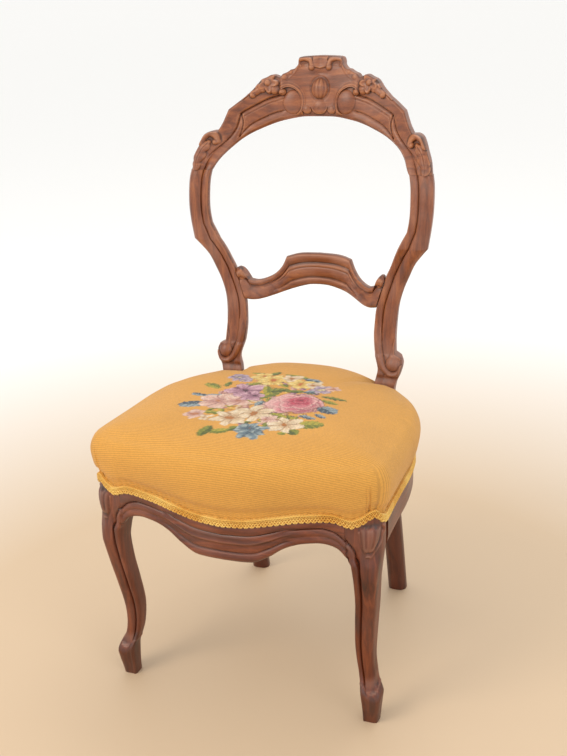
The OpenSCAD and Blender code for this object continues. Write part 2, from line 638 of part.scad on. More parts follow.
module front_corner_block() {
    x0 = front_block_x;
    x1 = leg_in_x - glue;
    y1 = leg_back_y + glue;
    color(beech) difference() {
        translate([0, 0, block_low]) linear_extrude(block_t) polygon([
            [x0, front_in_y(x0)], [lerp(x0, x1, 0.5), front_in_y(lerp(x0, x1, 0.5))], [x1, front_in_y(x1)],
            [x1, y1], [side_inner(side_start)[0], y1], side_inner(block_side_share)]);
        front_block_screws(true);
        side_block_screws(true);
    }
}

// Inner face of the side rail near the rear leg, where the rear block seats.
function side_inner(t) = plan(t) + inward(t) * (side_in(t) + glue);
rear_block_share = lerp(side_start, side_end, 0.85);
rear_block_a = side_inner(side_end);
rear_block_b = side_inner(rear_block_share);
rear_side_screw_y = lerp(rear_block_a[1], rear_block_b[1], 0.55);
rear_side_screw_x = lerp(rear_block_a[0], rear_block_b[0], 0.55) - block_arm * 0.28;
rear_back_screw_x = post_x - post_w / 2 - block_arm * 0.35;

module back_corner_block() {
    x1 = post_x - post_w / 2 - glue;
    y1 = back_rail_in - glue;
    color(beech) difference() {
        translate([0, 0, block_low]) linear_extrude(block_t) polygon([
            [x1 - block_arm * 0.95, y1], [x1, y1], [x1, post_y - glue], [rear_block_a[0], post_y - glue],
            side_inner(lerp(rear_block_share, side_end, 0.5)), rear_block_b]);
        back_block_screws(true);
        side_block_screws(true);
    }
}

// Joinery

module both_sides() {
    for (side = [0, 1]) mirror([side, 0, 0]) children();
}

module crest_dowels() {
    color(beech) both_sides() dowel([crest_dowel_x, crest_dowel_y, crest_joint_z], upright, dowel_len);
}

module cross_rail_dowels() {
    color(beech) both_sides()
        dowel([post_in(cross_dowel_z), cross_dowel_y, cross_dowel_z], along_x, cross_dowel_len);
}

module front_rail_dowels() {
    color(beech) both_sides() for (z = dowel_zs) dowel([leg_in_x, front_dowel_y, z], along_x, dowel_len);
}

module side_rail_dowels() {
    color(beech) both_sides() for (z = dowel_zs) {
        dowel([side_front_dowel_x, leg_back_y, z], along_y, dowel_len);
        dowel([side_dowel_x, side_dowel_y, z], along_y, side_dowel_len);
    }
}

module back_rail_dowels() {
    color(beech) both_sides() for (z = dowel_zs) dowel([back_dowel_x, back_dowel_y, z], along_x, dowel_len);
}

module corner_block_screws() {
    color("#9a9a92") both_sides() {
        front_block_screws(false);
        side_block_screws(false);
        back_block_screws(false);
    }
}

// Webbing, woven over and under, and tacked under the rails

long_shares = [0, 0.1518];
cross_shares = [0.5536, 0.6875, 0.8214];
weave = web_t / 2 + soft_gap / 2;
web_mid = web_z - weave - web_t / 2 - soft_gap;

function long_x(i) = plan(long_shares[i])[0];
function cross_at_y(i) = plan(cross_shares[i])[1];

// Centre line of a strip that crosses others: up at one, down at the next.
function strip_line(ends, crossings, first) = concat(
    [[ends[0], weave]],
    [for (i = [0 : len(crossings) - 1])
        let (up = ((i + first) % 2 == 0 ? 1 : -1) * weave, c = crossings[i])
            each [[c - web_w * 0.52, up], [c + web_w * 0.52, up]]],
    [[ends[1], weave]]);
module strip(line) {
    linear_extrude(web_w, center = true) polygon(concat(
        [for (p = line) p + [0, web_t / 2]], [for (p = reversed(line)) p - [0, web_t / 2]]));
}

module webbing_lengthwise() {
    crossings = [for (i = [0 : 2]) cross_at_y(i)];
    color("#b9a888") for (i = [-1, 0, 1]) {
        start = front_at_y(abs(i) * long_x(1) + web_w / 2) + rail_t * 0.66;
        translate([i * long_x(1), 0, web_mid]) rotate([90, 0, 90])
            strip(strip_line([start, back_rail_in + rail_t * 0.37], crossings, abs(i)));
    }
}

module webbing_crosswise() {
    crossings = [-long_x(1), 0, long_x(1)];
    color("#b9a888") for (i = [0 : 2]) {
        reach = plan(share_at_y(cross_at_y(i) + web_w / 2))[0] - rail_t * 0.7;
        translate([0, cross_at_y(i), web_mid]) rotate([90, 0, 0])
            strip(strip_line([-reach, reach], crossings, i));
    }
}

// Springs

// The springs' ends lie where the strips already dip towards their next crossing.
spring_low = web_mid + 0.4 * weave + web_t / 2 + soft_gap;
spring_top = hessian_rim_z + hessian_rise * 0.9;
spring_h = spring_top - spring_low - wire_d;
spring_places = [[-1, 0], [1, 0], [0, 1], [-1, 2], [1, 2]];
ring_steps = 8;

// Height and radius of the wire's centre after a share of its turns.
function wire_z(u) = spring_low + wire_d / 2 + spring_h * (u - 0.07 * sin(360 * u));
function wire_r(u) = lerp(waist_d, spring_d, pow(2 * u - 1, 2)) / 2 - wire_d / 2;
function wire_at(u) = [wire_r(u) * cos(360 * curls * u), wire_r(u) * sin(360 * curls * u), wire_z(u)];
wire_line = [for (k = [0 : curls * ring_steps]) wire_at(k / (curls * ring_steps))];
wire_gap = min([for (i = [0 : len(wire_line) - ring_steps])
    for (j = [i + ring_steps - 1 : 1 : i + ring_steps + 1])
    if (j < len(wire_line)) norm(wire_line[i] - wire_line[j])]) - wire_d;

function wire_ring(p, d) =
    let (along = d / norm(d), out = [p[0], p[1], 0] / norm([p[0], p[1]]),
         side = cross(along, out), up = cross(side, along))
    [for (a = [0 : 60 : 300]) p + wire_d / 2 * (cos(a) * up + sin(a) * side)];

module seat_springs() {
    last = len(wire_line) - 1;
    start = wire_line[1] - wire_line[0];
    end = wire_line[last] - wire_line[last - 1];
    line = concat([wire_line[0] - start / norm(start) * wire_d], wire_line,
        [wire_line[last] + end / norm(end) * wire_d]);
    rings = [for (i = [0 : last + 2])
        wire_ring(line[i], i < 2 ? start : i > last ? end : line[i + 1] - line[i - 1])];
    echo("least gap between curls", wire_gap);
    color("#7d7a74") for (s = spring_places) translate([s[0] * long_x(1), cross_at_y(s[1]), 0]) skin(rings);
}

// Upholstery, from the hessian out to the cover

seat_middle = [0, lerp(front_y, back_rail_y, 0.5)];
notch_gap = 1;
notch_in = post_x - post_w / 2 - notch_gap;
notch_y = post_y - notch_gap;
notch_share = share_at_y(notch_y);
notch_out = plan(notch_share)[0] - rebate * 0.75;

// Half of the cover's outline: where it lies, which way it bulges and how much, its lower edge, and
// the height of its upper edge.
front_shares = [0, 0.0536, 0.1071, 0.1607, 0.2054, 0.2446, 0.2786, 0.3107];
cover_shares = concat(front_shares, corner_shares, side_shares, [rear_share, notch_share]);
bulge_shares = [
    [0, 0.75], [0.25, 0.7], [0.3393, 0.6], [0.4286, 0.75], [0.5357, 0.95], [0.7143, 1], [0.8214, 0.9],
    [0.9286, 0.55], [1, 0.4]];
hem_gap = 4 * soft_gap;
post_hem = rail_top + hem_gap;
back_hem = hem_z + hem_gap;
function back_point(share, swell) =
    [[notch_in * share, back_rail_y], [0, 1], swell, back_hem, edge_z + back_lift * (1 - pow(share, 2))];
cover_half = concat(
    [for (t = cover_shares) [plan(t), plan_out(t), curve(bulge_shares, t), hem(t) + hem_gap, edge_z]],
    [[[notch_out, notch_y], [0, 0], 0, post_hem, edge_z],
     [[notch_in, notch_y], [0, 0], 0, post_hem, edge_z],
     [[notch_in, back_rail_y - rebate * 0.6], [0, 0], 0, post_hem, edge_z]],
    [for (share = [1, 0.75, 0.4, 0]) back_point(share, 0.6 - share * 0.5)]);
function flip(v) = [-v[0], v[1]];
cover_outline = concat(cover_half, [for (i = [len(cover_half) - 2 : -1 : 1])
    let (c = cover_half[i]) [flip(c[0]), flip(c[1]), c[2], c[3], c[4]]]);

// Rows of the cover from its lower edge to its crown: share of the way out from the middle, of the
// bulge, of the height to the edge and then the crown, and how far the inner skin is in and down.
tuck = bulge * 0.13;
cover_row_shares = [
    [1, -1, 0, 1, 0], [1, -1, 0.16, 1, 0], [1, 0.4, 0.3, 1, 0.1], [1, 0.9, 0.52, 1, 0.2],
    [1, 1, 0.74, 1, 0.4], [0.99, 0.7, 0.93, 0.8, 0.8], [0.955, 0.1, 1.17, 0.3, 1], [0.87, 0, 1.53, 0, 1],
    [0.67, 0, 1.84, 0, 1], [0.35, 0, 1.97, 0, 1]];

function swell(row, share) = share == 0 ? 0 : row < 0 ? tuck * row : bulge * row * share;
function cover_ring(row, inset) = [for (c = cover_outline)
    let (base = seat_middle + (c[0] + c[1] * swell(row[1], c[2]) - seat_middle) * row[0],
         pull = (seat_middle - base) / norm(seat_middle - base) * inset * row[3],
         z = lerp(c[3], c[4], min(row[2], 1)) + (crown_z - c[4]) * max(row[2] - 1, 0))
    [base[0] + pull[0], base[1] + pull[1], z - inset * row[4]]];

module seat_cover() {
    color(wool) dome_shell(
        [for (r = cover_row_shares) cover_ring(r, 0)],
        [for (r = cover_row_shares) cover_ring(r, cover_t)]);
}

// A ring inside the seat at a share of the way out, on the domed hessian or above it.
function dome_ring(share, inset, lift) = [for (c = cover_outline)
    let (out = c[0] - seat_middle, p = seat_middle + out * (1 - inset / norm(out)) * share)
    [p[0], p[1], hessian_rim_z + hessian_rise * (1 - pow(share, 6)) + lift]];
dome_rows = [1, 0.84, 0.68, 0.4];

module spring_hessian() {
    color("#a98f62") dome_shell(
        [for (s = dome_rows) dome_ring(s, rail_t * 0.5, hessian_t)],
        [for (s = dome_rows) dome_ring(s, rail_t * 0.5, 0)]);
}

module stuffing_pad() {
    gap = cover_t + 3 * soft_gap;
    color("#4a3a2c") dome_shell(
        [for (k = [3 : 9]) cover_ring(cover_row_shares[k], gap)],
        [for (s = dome_rows) dome_ring(s, rail_t * 0.4, hessian_t + soft_gap)]);
}

// Trim

// Section of the braid: how far out from the face as a share of its thickness, and up its width.
gimp_shares = [[0, 0], [1, 0.15], [0.8, 0.5], [1, 0.85], [0, 1]];
gimp_in = soft_gap - tuck;

module gimp_braid() {
    halfway = [for (i = [1 : len(front_shares) - 1]) lerp(front_shares[i - 1], front_shares[i], 0.5)];
    front_end = front_shares[len(front_shares) - 1];
    fine = concat([for (i = [0 : len(halfway) - 1]) each [front_shares[i], halfway[i]]],
        [front_end, lerp(front_end, crease_share, 0.5)]);
    places = concat(fine, corner_shares, side_shares, [rear_share, lerp(rear_share, 1, 0.75)]);
    function ring_at(t, side) = [for (s = gimp_shares)
        let (p = face(t, gimp_in + gimp_t * s[0], hem(t) + 1.5 * soft_gap + gimp_w * s[1]))
        [side * p[0], p[1], p[2]]];
    color(braid) skin(reversed(concat(
        [for (t = reversed(places)) if (t > 0) ring_at(t, -1)], [for (t = places) ring_at(t, 1)])));
}

module back_gimp() {
    y = back_rail_y + soft_gap - tuck;
    color(braid) rotate([90, 0, 90]) linear_extrude(2 * notch_in * 0.96, center = true) polygon(
        [for (s = gimp_shares) [y + gimp_t * s[0], hem_z + soft_gap + gimp_w * s[1]]]);
}

crest_rail();
cross_rail();
back_post();  // back_post_left
mirror([1, 0, 0]) back_post();  // back_post_right
front_leg();  // front_leg_left
mirror([1, 0, 0]) front_leg();  // front_leg_right
front_seat_rail();
side_seat_rail();  // side_seat_rail_left
mirror([1, 0, 0]) side_seat_rail();  // side_seat_rail_right
back_seat_rail();
front_corner_block();  // front_corner_block_left
mirror([1, 0, 0]) front_corner_block();  // front_corner_block_right
back_corner_block();  // back_corner_block_left
mirror([1, 0, 0]) back_corner_block();  // back_corner_block_right
crest_dowels();
cross_rail_dowels();
front_rail_dowels();
side_rail_dowels();
back_rail_dowels();
corner_block_screws();
webbing_lengthwise();
webbing_crosswise();
seat_springs();
spring_hessian();
stuffing_pad();
seat_cover();
gimp_braid();
back_gimp();
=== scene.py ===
"""Balloon back dining chair: a carved walnut frame and a sprung seat in floral needlepoint."""
import math
import bmesh
import bpy
import numpy as np
from mathutils import Matrix, Vector


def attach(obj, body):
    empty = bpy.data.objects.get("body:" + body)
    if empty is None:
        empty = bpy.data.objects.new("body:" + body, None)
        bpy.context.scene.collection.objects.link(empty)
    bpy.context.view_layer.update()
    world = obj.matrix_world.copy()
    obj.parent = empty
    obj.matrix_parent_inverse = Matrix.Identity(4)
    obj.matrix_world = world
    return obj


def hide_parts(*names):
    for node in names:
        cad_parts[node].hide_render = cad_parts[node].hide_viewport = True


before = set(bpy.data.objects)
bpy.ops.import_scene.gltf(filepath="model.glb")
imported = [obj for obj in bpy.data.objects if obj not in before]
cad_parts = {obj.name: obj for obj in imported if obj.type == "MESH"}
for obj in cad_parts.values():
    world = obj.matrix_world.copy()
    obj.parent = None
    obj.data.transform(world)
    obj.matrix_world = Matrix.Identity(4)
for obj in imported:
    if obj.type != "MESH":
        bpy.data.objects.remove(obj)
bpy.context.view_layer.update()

MM = 0.001
CUSP = 1

# Sizes of the chair in millimetres, as in the part's source.
CHAIR_H, CHAIR_D = 944, 522
BACK_T, RAKE, BACK_BOW, MOULD = 28, math.radians(10), 58, 5.5
CROSS_H, CROSS_T, CROSS_BOW = 52, 22, 52
POST_W, POST_D, REAR_SPLAY = 32, 36, 74
RAIL_TOP, RAIL_LOW, FRAME_W, FRAME_D, RAIL_T = 371, 290, 457, 391, 27
WEB_Z, REBATE, APRON_Z, ARCH_Z = 306, 4, 268, 307
FOOT_W, ANKLE_W, LEG_BLOCK, GLUE, SOFT_GAP = 23, 26, 48, 0.25, 0.3
WEB_W, WEB_T, WIRE_D, SPRING_D, WAIST_D, CURLS = 50, 1.6, 3.4, 70, 44, 5
CROWN_Z, EDGE_Z, BULGE, BACK_LIFT, COVER_T = 449, 425, 13, 17, 1.8
GIMP_W, GIMP_T = 11.6, 3.8
HESSIAN_T, HESSIAN_RISE = 1.2, 17
HALF_FRAME = FRAME_W / 2
HALF_BACK = HALF_FRAME * 0.928
POST_X = HALF_FRAME * 0.595
FOOT_X = HALF_FRAME * 0.902
BACK_H = CHAIR_H - RAIL_TOP
CREST_Z = RAIL_TOP + BACK_H * 0.693
CROSS_TOP_Z = RAIL_TOP + BACK_H * 0.4345
FRONT_Y = BULGE * 0.75 - CHAIR_D / 2
BACK_RAIL_Y = FRONT_Y + FRAME_D
POST_GAP = POST_D * 0.88
POST_Y = BACK_RAIL_Y - POST_GAP
LEG_IN_X = HALF_FRAME - LEG_BLOCK
LEG_BACK_Y = FRONT_Y + FRAME_D * 0.111 + LEG_BLOCK * 0.82
HEM_Z = RAIL_LOW + (RAIL_TOP - RAIL_LOW) * 0.58
HEM_GAP = 4 * SOFT_GAP
TUCK = BULGE * 0.13
HESSIAN_RIM_Z = RAIL_TOP + SOFT_GAP


# Curves and grids of points, in millimetres

def lerp(a, b, t):
    return a + (b - a) * t


def ease(t):
    u = np.clip(t, 0, 1)
    return u * u * (3 - 2 * u)


def between(a, b, leave, arrive, u):
    """A smooth way from a to b, which leaves and arrives with the given slopes."""
    return (a * (2 * u ** 3 - 3 * u * u + 1) + leave * (u ** 3 - 2 * u * u + u)
            + b * (3 * u * u - 2 * u ** 3) + arrive * (u ** 3 - u * u))


def cusps(rows):
    """Places of the rows of a curve at which it turns sharply."""
    return [row[0] for row in rows if len(row) > 2]


def curve(rows, t):
    """Smooth curve through rows of (place, value, cusp), which turns sharply at a cusp."""
    place = np.array([row[0] for row in rows], float)
    value = np.array([np.atleast_1d(row[1]) for row in rows], float)
    t = np.asarray(t, float)
    i = np.clip(np.searchsorted(place, t, "right") - 1, 0, len(rows) - 2)
    rise = np.diff(value, axis=0) / np.diff(place)[:, None]
    through = np.zeros_like(value)
    through[1:-1] = (value[2:] - value[:-2]) / (place[2:] - place[:-2])[:, None]
    sharp = np.array([len(row) > 2 for row in rows])
    sharp[[0, -1]] = True
    leave = np.where(sharp[i][..., None], rise[i], through[i])
    arrive = np.where(sharp[i + 1][..., None], rise[i], through[i + 1])
    h = np.diff(place)[i][..., None]
    out = between(value[i], value[i + 1], leave * h, arrive * h, (t - place[i])[..., None] / h)
    return out[..., 0] if value.shape[1] == 1 else out


def joined(*columns):
    """One grid from columns of points that lie side by side."""
    return np.concatenate(columns, axis=1)


def at(x, y, z):
    """Points from their coordinates, as one column of a grid or as several."""
    x, y, z = np.broadcast_arrays(x, y, z)
    points = np.stack([x, y, z], -1).astype(float)
    return points[:, None] if points.ndim == 2 else points


def rounded(columns, times=2):
    """Cuts the corners of the lines that run across a grid, and keeps their ends."""
    for _ in range(times):
        a, b = columns[:, :-1], columns[:, 1:]
        pairs = np.stack([0.75 * a + 0.25 * b, 0.25 * a + 0.75 * b], 2)
        cut = pairs.reshape(len(columns), -1, 3)
        columns = joined(columns[:, :1], cut[:, 1:-1], columns[:, -1:])
    return columns


def outward(points):
    """Directions away from a grid whose columns go round and end where they start."""
    body = points[:, :-1]
    normal = np.cross(np.gradient(body, axis=0), np.roll(body, -1, 1) - np.roll(body, 1, 1))
    normal /= np.maximum(np.linalg.norm(normal, axis=2, keepdims=True), 1e-9)
    middle = body.mean(axis=1, keepdims=True)
    if ((body - middle) * normal).sum() < 0:
        normal = -normal
    return joined(normal, normal[:, :1])


def hollows(depth, reach=3):
    """How much lower or higher each point of a relief lies than those round it."""
    level = depth.astype(float)
    for _ in range(reach):
        edge = np.pad(level, 1, mode="edge")
        level = (edge[1:-1, 1:-1] * 2 + edge[:-2, 1:-1] + edge[2:, 1:-1] + edge[1:-1, :-2] + edge[1:-1, 2:]) / 6
    return depth - level


def backed(front, back):
    """A grid that goes right round a piece: its carved front, then its back, whose corners are rounded."""
    rear = rounded(joined(front[:, -1:], *back, front[:, :1]))
    return joined(front, rear[:, 1:])


def over_grid(points, depth, first=0):
    """Depths for a whole grid, from those of the columns of its carved face."""
    dents = np.zeros(points.shape[:2])
    dents[:, first:first + depth.shape[1]] = depth
    return dents


# Outlines of the back and of the seat

POST_OUTER = [
    (0, 0.717), (0.06, 0.72), (0.1, 0.735), (0.13, 0.768), (0.158, 0.784), (0.175, 0.766, CUSP),
    (0.183, 0.718, CUSP), (0.225, 0.712), (0.276, 0.717), (0.325, 0.731), (0.368, 0.764),
    (0.405, 0.807), (0.4415, 0.854), (0.471, 0.915), (0.491, 0.962, CUSP), (0.546, 0.986),
    (0.588, 0.998), (0.63, 1), (0.668, 0.995), (0.7, 0.978)]
POST_INNER = [
    (0, 0.566), (0.1, 0.57), (0.138, 0.587), (0.18, 0.557), (0.225, 0.5415), (0.262, 0.5415),
    (0.305, 0.55), (0.345, 0.58), (0.38, 0.612), (0.405, 0.632), (0.431, 0.665), (0.468, 0.707),
    (0.504, 0.755), (0.537, 0.805, CUSP), (0.562, 0.818), (0.59, 0.8255), (0.632, 0.8255),
    (0.665, 0.82), (0.7, 0.802)]
REAR_LEG = [(0, 1), (0.25, 0.73), (0.5, 0.42), (0.75, 0.14), (0.9, 0.03), (1, 0), (1.3, 0)]
CREST_OUTER = [
    (0, (0.978, 0)), (2.5, (0.962, 0.108)), (4.5, (0.93, 0.2)), (6, (0.905, 0.272)),
    (7, (0.882, 0.317)), (8, (0.842, 0.341)), (9, (0.794, 0.338), CUSP), (10.5, (0.76, 0.405)),
    (13, (0.716, 0.532), CUSP), (16, (0.625, 0.614)), (18, (0.556, 0.668), CUSP), (20, (0.482, 0.768)),
    (22, (0.398, 0.823)), (24, (0.322, 0.806), CUSP), (26, (0.262, 0.86)), (28, (0.212, 0.885)),
    (29, (0.183, 0.925)), (30, (0.178, 0.968)), (31, (0.166, 0.988)), (33, (0.1, 0.995)), (36, (0, 1))]
CREST_INNER = [
    (0, (0.802, 0)), (4.5, (0.745, 0.114)), (9, (0.66, 0.216)), (13, (0.566, 0.293)),
    (18, (0.439, 0.361)), (22, (0.325, 0.408)), (26, (0.21, 0.438)), (30, (0.126, 0.452)),
    (36, (0, 0.4545))]
PLAN = [
    (0, (0, 0)), (0.0714, (0.175, 0.003)), (0.1429, (0.35, 0.018)), (0.1964, (0.482, 0.036)),
    (0.2446, (0.6, 0.05)), (0.2946, (0.722, 0.06)), (0.3214, (0.79, 0.066)), (0.3393, (0.832, 0.073)),
    (0.3839, (0.928, 0.095)), (0.4071, (0.976, 0.114)), (0.4286, (0.995, 0.136)), (0.4643, (1, 0.166)),
    (0.5357, (0.989, 0.271)), (0.625, (0.978, 0.4)), (0.7143, (0.971, 0.521)), (0.7857, (0.956, 0.616)),
    (0.8571, (0.922, 0.718)), (0.9286, (0.838, 0.82)), (1, (0.7, 1 - POST_GAP / FRAME_D))]
HEM = [
    (0, -0.32), (0.0714, -0.22), (0.1429, -0.02), (0.1964, 0.12), (0.2446, 0.2), (0.2732, 0.25),
    (0.3, 0.23), (0.3214, 0.1), (0.3393, 0.01, CUSP), (0.3661, 0.16), (0.4, 0.46), (0.421, 0.2, CUSP),
    (0.4643, 0.02), (0.5357, 0), (1, 0)]
APRON = [
    (0, 0), (0.17, 0.02), (0.28, 0.09), (0.4, 0.385, CUSP), (0.5, 0.7), (0.61, 0.89), (0.72, 0.975),
    (0.81, 1), (0.89, 0.93), (0.95, 0.78), (1, 0.5)]
SWELL = [
    (0, 0.75), (0.25, 0.7), (0.3393, 0.6), (0.4286, 0.75), (0.5357, 0.95), (0.7143, 1), (0.8214, 0.9),
    (0.9286, 0.55), (1, 0.4)]


# The lists above hold shares of the chair's own sizes, from which these give the frame's outlines.

def leaning_y(x, z):
    return CHAIR_D / 2 - BACK_T - (CHAIR_H - z) * math.tan(RAKE) - BACK_BOW * (x / HALF_BACK) ** 2


def back_y(x, z):
    """Front face of the back, which leans and curves round the sitter."""
    shift = POST_Y - leaning_y(POST_X, RAIL_TOP)
    return leaning_y(x, z) + shift * ((CHAIR_H - z) / BACK_H) ** 2


def post_out(z):
    return np.where(z < RAIL_TOP, POST_X + POST_W / 2, HALF_BACK * curve(POST_OUTER, (z - RAIL_TOP) / BACK_H))


def post_in(z):
    return np.where(z < RAIL_TOP, POST_X - POST_W / 2, HALF_BACK * curve(POST_INNER, (z - RAIL_TOP) / BACK_H))


def above_seat(z):
    return ease((z - RAIL_TOP) / (CROWN_Z - RAIL_TOP))


def post_face(z):
    """Front face of a post: behind the seat it follows the rear leg, and above it the back's curve."""
    a, b = post_in(z), post_out(z)
    up = ease((z - CROWN_Z) / (CREST_Z - CROWN_Z))
    leg_y = POST_Y + REAR_SPLAY * curve(REAR_LEG, np.clip(z / RAIL_TOP, 0, 1.3))
    return lerp(leg_y, back_y(lerp((a + b) / 2, b, up), z), above_seat(z))


def post_depth(z):
    return lerp(lerp(POST_W, POST_D, ease(z / RAIL_LOW)), BACK_T, above_seat(z))


def crest_point(shares):
    return HALF_BACK * shares[..., 0], CREST_Z + (CHAIR_H - CREST_Z) * shares[..., 1]


def plan(t):
    s = curve(PLAN, t)
    return np.stack([HALF_FRAME * s[..., 0], FRONT_Y + FRAME_D * s[..., 1]], -1)


def plan_out(t):
    t = np.asarray(t, float)
    d = plan(np.minimum(t + 2e-4, 1)) - plan(np.maximum(t - 2e-4, 0))
    d /= np.linalg.norm(d, axis=-1, keepdims=True)
    return np.stack([d[..., 1], -d[..., 0]], -1)


def hem(t):
    return HEM_Z + (RAIL_TOP - HEM_Z) * curve(HEM, t)


CORNER_SHARE = 0.4286
FRONT_RUN = np.linspace(0, CORNER_SHARE, 3000)
SIDE_RUN = np.linspace(CORNER_SHARE, 1, 3000)


def share_at_x(x):
    return np.interp(x, plan(FRONT_RUN)[:, 0], FRONT_RUN)


def share_at_y(y):
    return np.interp(y, plan(SIDE_RUN)[:, 1], SIDE_RUN)


# Carving: each form gives its height over the ground at points x, z of the face

def dome(q, height):
    return height * np.clip(q, 0, None) ** 0.62


def boss(x, z, place, rx, rz, height):
    return dome(1 - ((x - place[0]) / rx) ** 2 - ((z - place[1]) / rz) ** 2, height)


def along_line(x, z, line, steps=18):
    """Distance of each point from a smooth line through a few places, its side, and how far along it is."""
    rows = [(i, p) for i, p in enumerate(line)]
    path = curve(rows, np.linspace(0, len(line) - 1, steps + 1))
    near = np.full(x.shape, 1e9)
    side = np.zeros(x.shape)
    share = np.zeros(x.shape)
    for k in range(steps):
        (ax, az), (bx, bz) = path[k], path[k + 1]
        dx, dz = bx - ax, bz - az
        u = np.clip(((x - ax) * dx + (z - az) * dz) / (dx * dx + dz * dz), 0, 1)
        d = np.hypot(x - ax - u * dx, z - az - u * dz)
        closer = d < near
        near = np.where(closer, d, near)
        side = np.where(closer, np.sign((x - ax) * dz - (z - az) * dx), side)
        share = np.where(closer, (k + u) / steps, share)
    return near, side, share


def scroll(x, z, line, w0, w1, height):
    """A rounded band along a line, from width w0 to w1."""
    near, _, share = along_line(x, z, line)
    return dome(1 - (near / lerp(w0, w1, share)) ** 2, height) * lerp(1, 0.8, share)


def leaf(x, z, line, width, height, lobes):
    """An acanthus leaf: a line for its rib, lobes down both sides, and a cut along the middle of each."""
    near, _, share = along_line(x, z, line)
    notch = np.abs(np.sin(np.pi * (share * lobes + near / width * 0.45)))
    long = np.sqrt(np.clip(np.sin(np.pi * np.clip(share * 0.93 + 0.05, 0, 1)), 0.02, 1))
    reach = width * long * (0.72 + 0.28 * notch)
    body = dome(1 - (near / reach) ** 2, height)
    return np.clip(body - 1.1 * np.exp(-(near / 0.8) ** 2) * (body > 0.6) - 0.9 * (1 - notch) * (body > 0.4), 0, None)


def flower(x, z, place, radius, height, petals, turn):
    """A rosette: cupped petals round a raised button."""
    dx, dz = x - place[0], z - place[1]
    q = np.hypot(dx, dz) / radius
    wave = np.cos(petals * (np.arctan2(dz, dx) + turn))
    edge = 0.84 + 0.16 * wave
    cup = height * (0.45 + 0.55 * np.clip(q / edge, 0, 1) ** 2) * ease((edge - q) / 0.22)
    cup -= 1.6 * np.clip(-wave, 0, 1) ** 3 * ease((q - 0.3) / 0.3) * (q < edge)
    return np.maximum(np.clip(cup, 0, None), dome(1 - (q / 0.33) ** 2, height * 1.05))


# The crest's carving, in millimetres on the half towards +X: lines of its edges and grooves, the middle oval,
# raised eyes and petals, scrolls and leaves.
C_EDGE = [(68, 889), (58, 894.5), (48, 893.5), (39, 888), (33.5, 879.5), (31.8, 869), (34, 858), (42, 850.5)]
MAIN_GROOVE = [(60, 885), (74, 881), (89, 876.5), (104, 869.5), (118, 862.5), (131, 855), (134.5, 846), (139.5, 831),
               (149, 817), (161, 805.5), (172, 796), (180, 786), (184, 767)]
LOWER_GROOVE = [(56, 858.5), (77, 854), (93, 847.5), (112, 838.5), (125, 828), (134, 818)]
MITRE = [(134, 818), (130, 829), (128.5, 840), (132, 854)]
OVAL_Z, OVAL_W, OVAL_H = 892.5, 15, 17.2
EYES = [
    ((21.5, 860), 8.4, 8, 4.8), ((45, 871.5), 18, 19.5, 5), ((64, 887.5), 6.3, 6, 7), ((77, 892), 9, 8, 6),
    ((97.5, 894), 9, 7, 5.4), ((112, 884), 5.6, 5.2, 6.4), ((60, 911), 7, 6, 5), ((50, 918), 5, 5, 4.4),
    ((15, 926.5), 6.2, 6.4, 8.6), ((169, 811.5), 5.2, 5.2, 8)]
SCROLLS = [
    ([(101, 893), (108, 888), (114, 888.5)], 6.5, 5, 5.4),
    ([(38, 929), (42, 921), (50, 912), (60, 905)], 3.6, 3.6, 4.3),
    ([(14.5, 930), (18, 937), (27, 940), (36, 938.5)], 5.4, 4.6, 8.2),
    ([(36, 938), (36.5, 932), (34.5, 928)], 3.6, 2.4, 5),
    ([(193, 811), (188, 820), (178, 825), (169, 820.5), (166, 812.5)], 6.4, 5, 8)]
CARVED_LEAVES = [
    ([(104, 899), (113, 897), (122, 890), (129, 878)], 7.5, 5.4, 3),
    ([(180, 811), (190, 799), (196, 784), (197.5, 766)], 12, 5.6, 2.4)]


def shield(x, z):
    """The middle of the crest: a soft raised field with a scalloped foot, ribbed along the big C scrolls."""
    near, side, share = along_line(x, z, C_EDGE, 30)
    beyond = np.where((side > 0) | (x < 30), near, -near)
    ribbed = lerp(12, 6, share)
    edge = np.where(x < 14.6, 864 - 0.92 * np.sqrt(np.clip(14.6 ** 2 - x * x, 0, None)),
                    859.5 - 0.9 * np.sqrt(np.clip(8 ** 2 - (x - 21.5) ** 2, 0, None)))
    edge = np.where(x > 29, 845, edge)
    rise = np.clip(1 - near / ribbed, 0, 1)
    field = 3.2 + 2.4 * rise + 0.75 * np.cos(2 * np.pi * near / (ribbed * 0.42)) * np.sqrt(rise)
    oval = np.hypot(x / 16.6, (z - OVAL_Z) / 19)
    field -= 1.5 * np.exp(-((oval - 0.96) / 0.11) ** 2)
    field -= 2.4 * np.exp(-(x / 11) ** 2 - ((z - 916.5) / 4.5) ** 2)
    field -= 1.9 * np.exp(-((x - 27.5) / 7.5) ** 2 - ((z - 931) / 4.6) ** 2)
    field -= 0.8 * np.exp(-((x - 24) / 8) ** 2 - ((z - 876) / 14) ** 2)
    return field * ease((beyond + 0.4) / 1.8) * ease((z - edge) / 2.2) * ease((72 - x) / 8) * ease((z - 849) / 7)


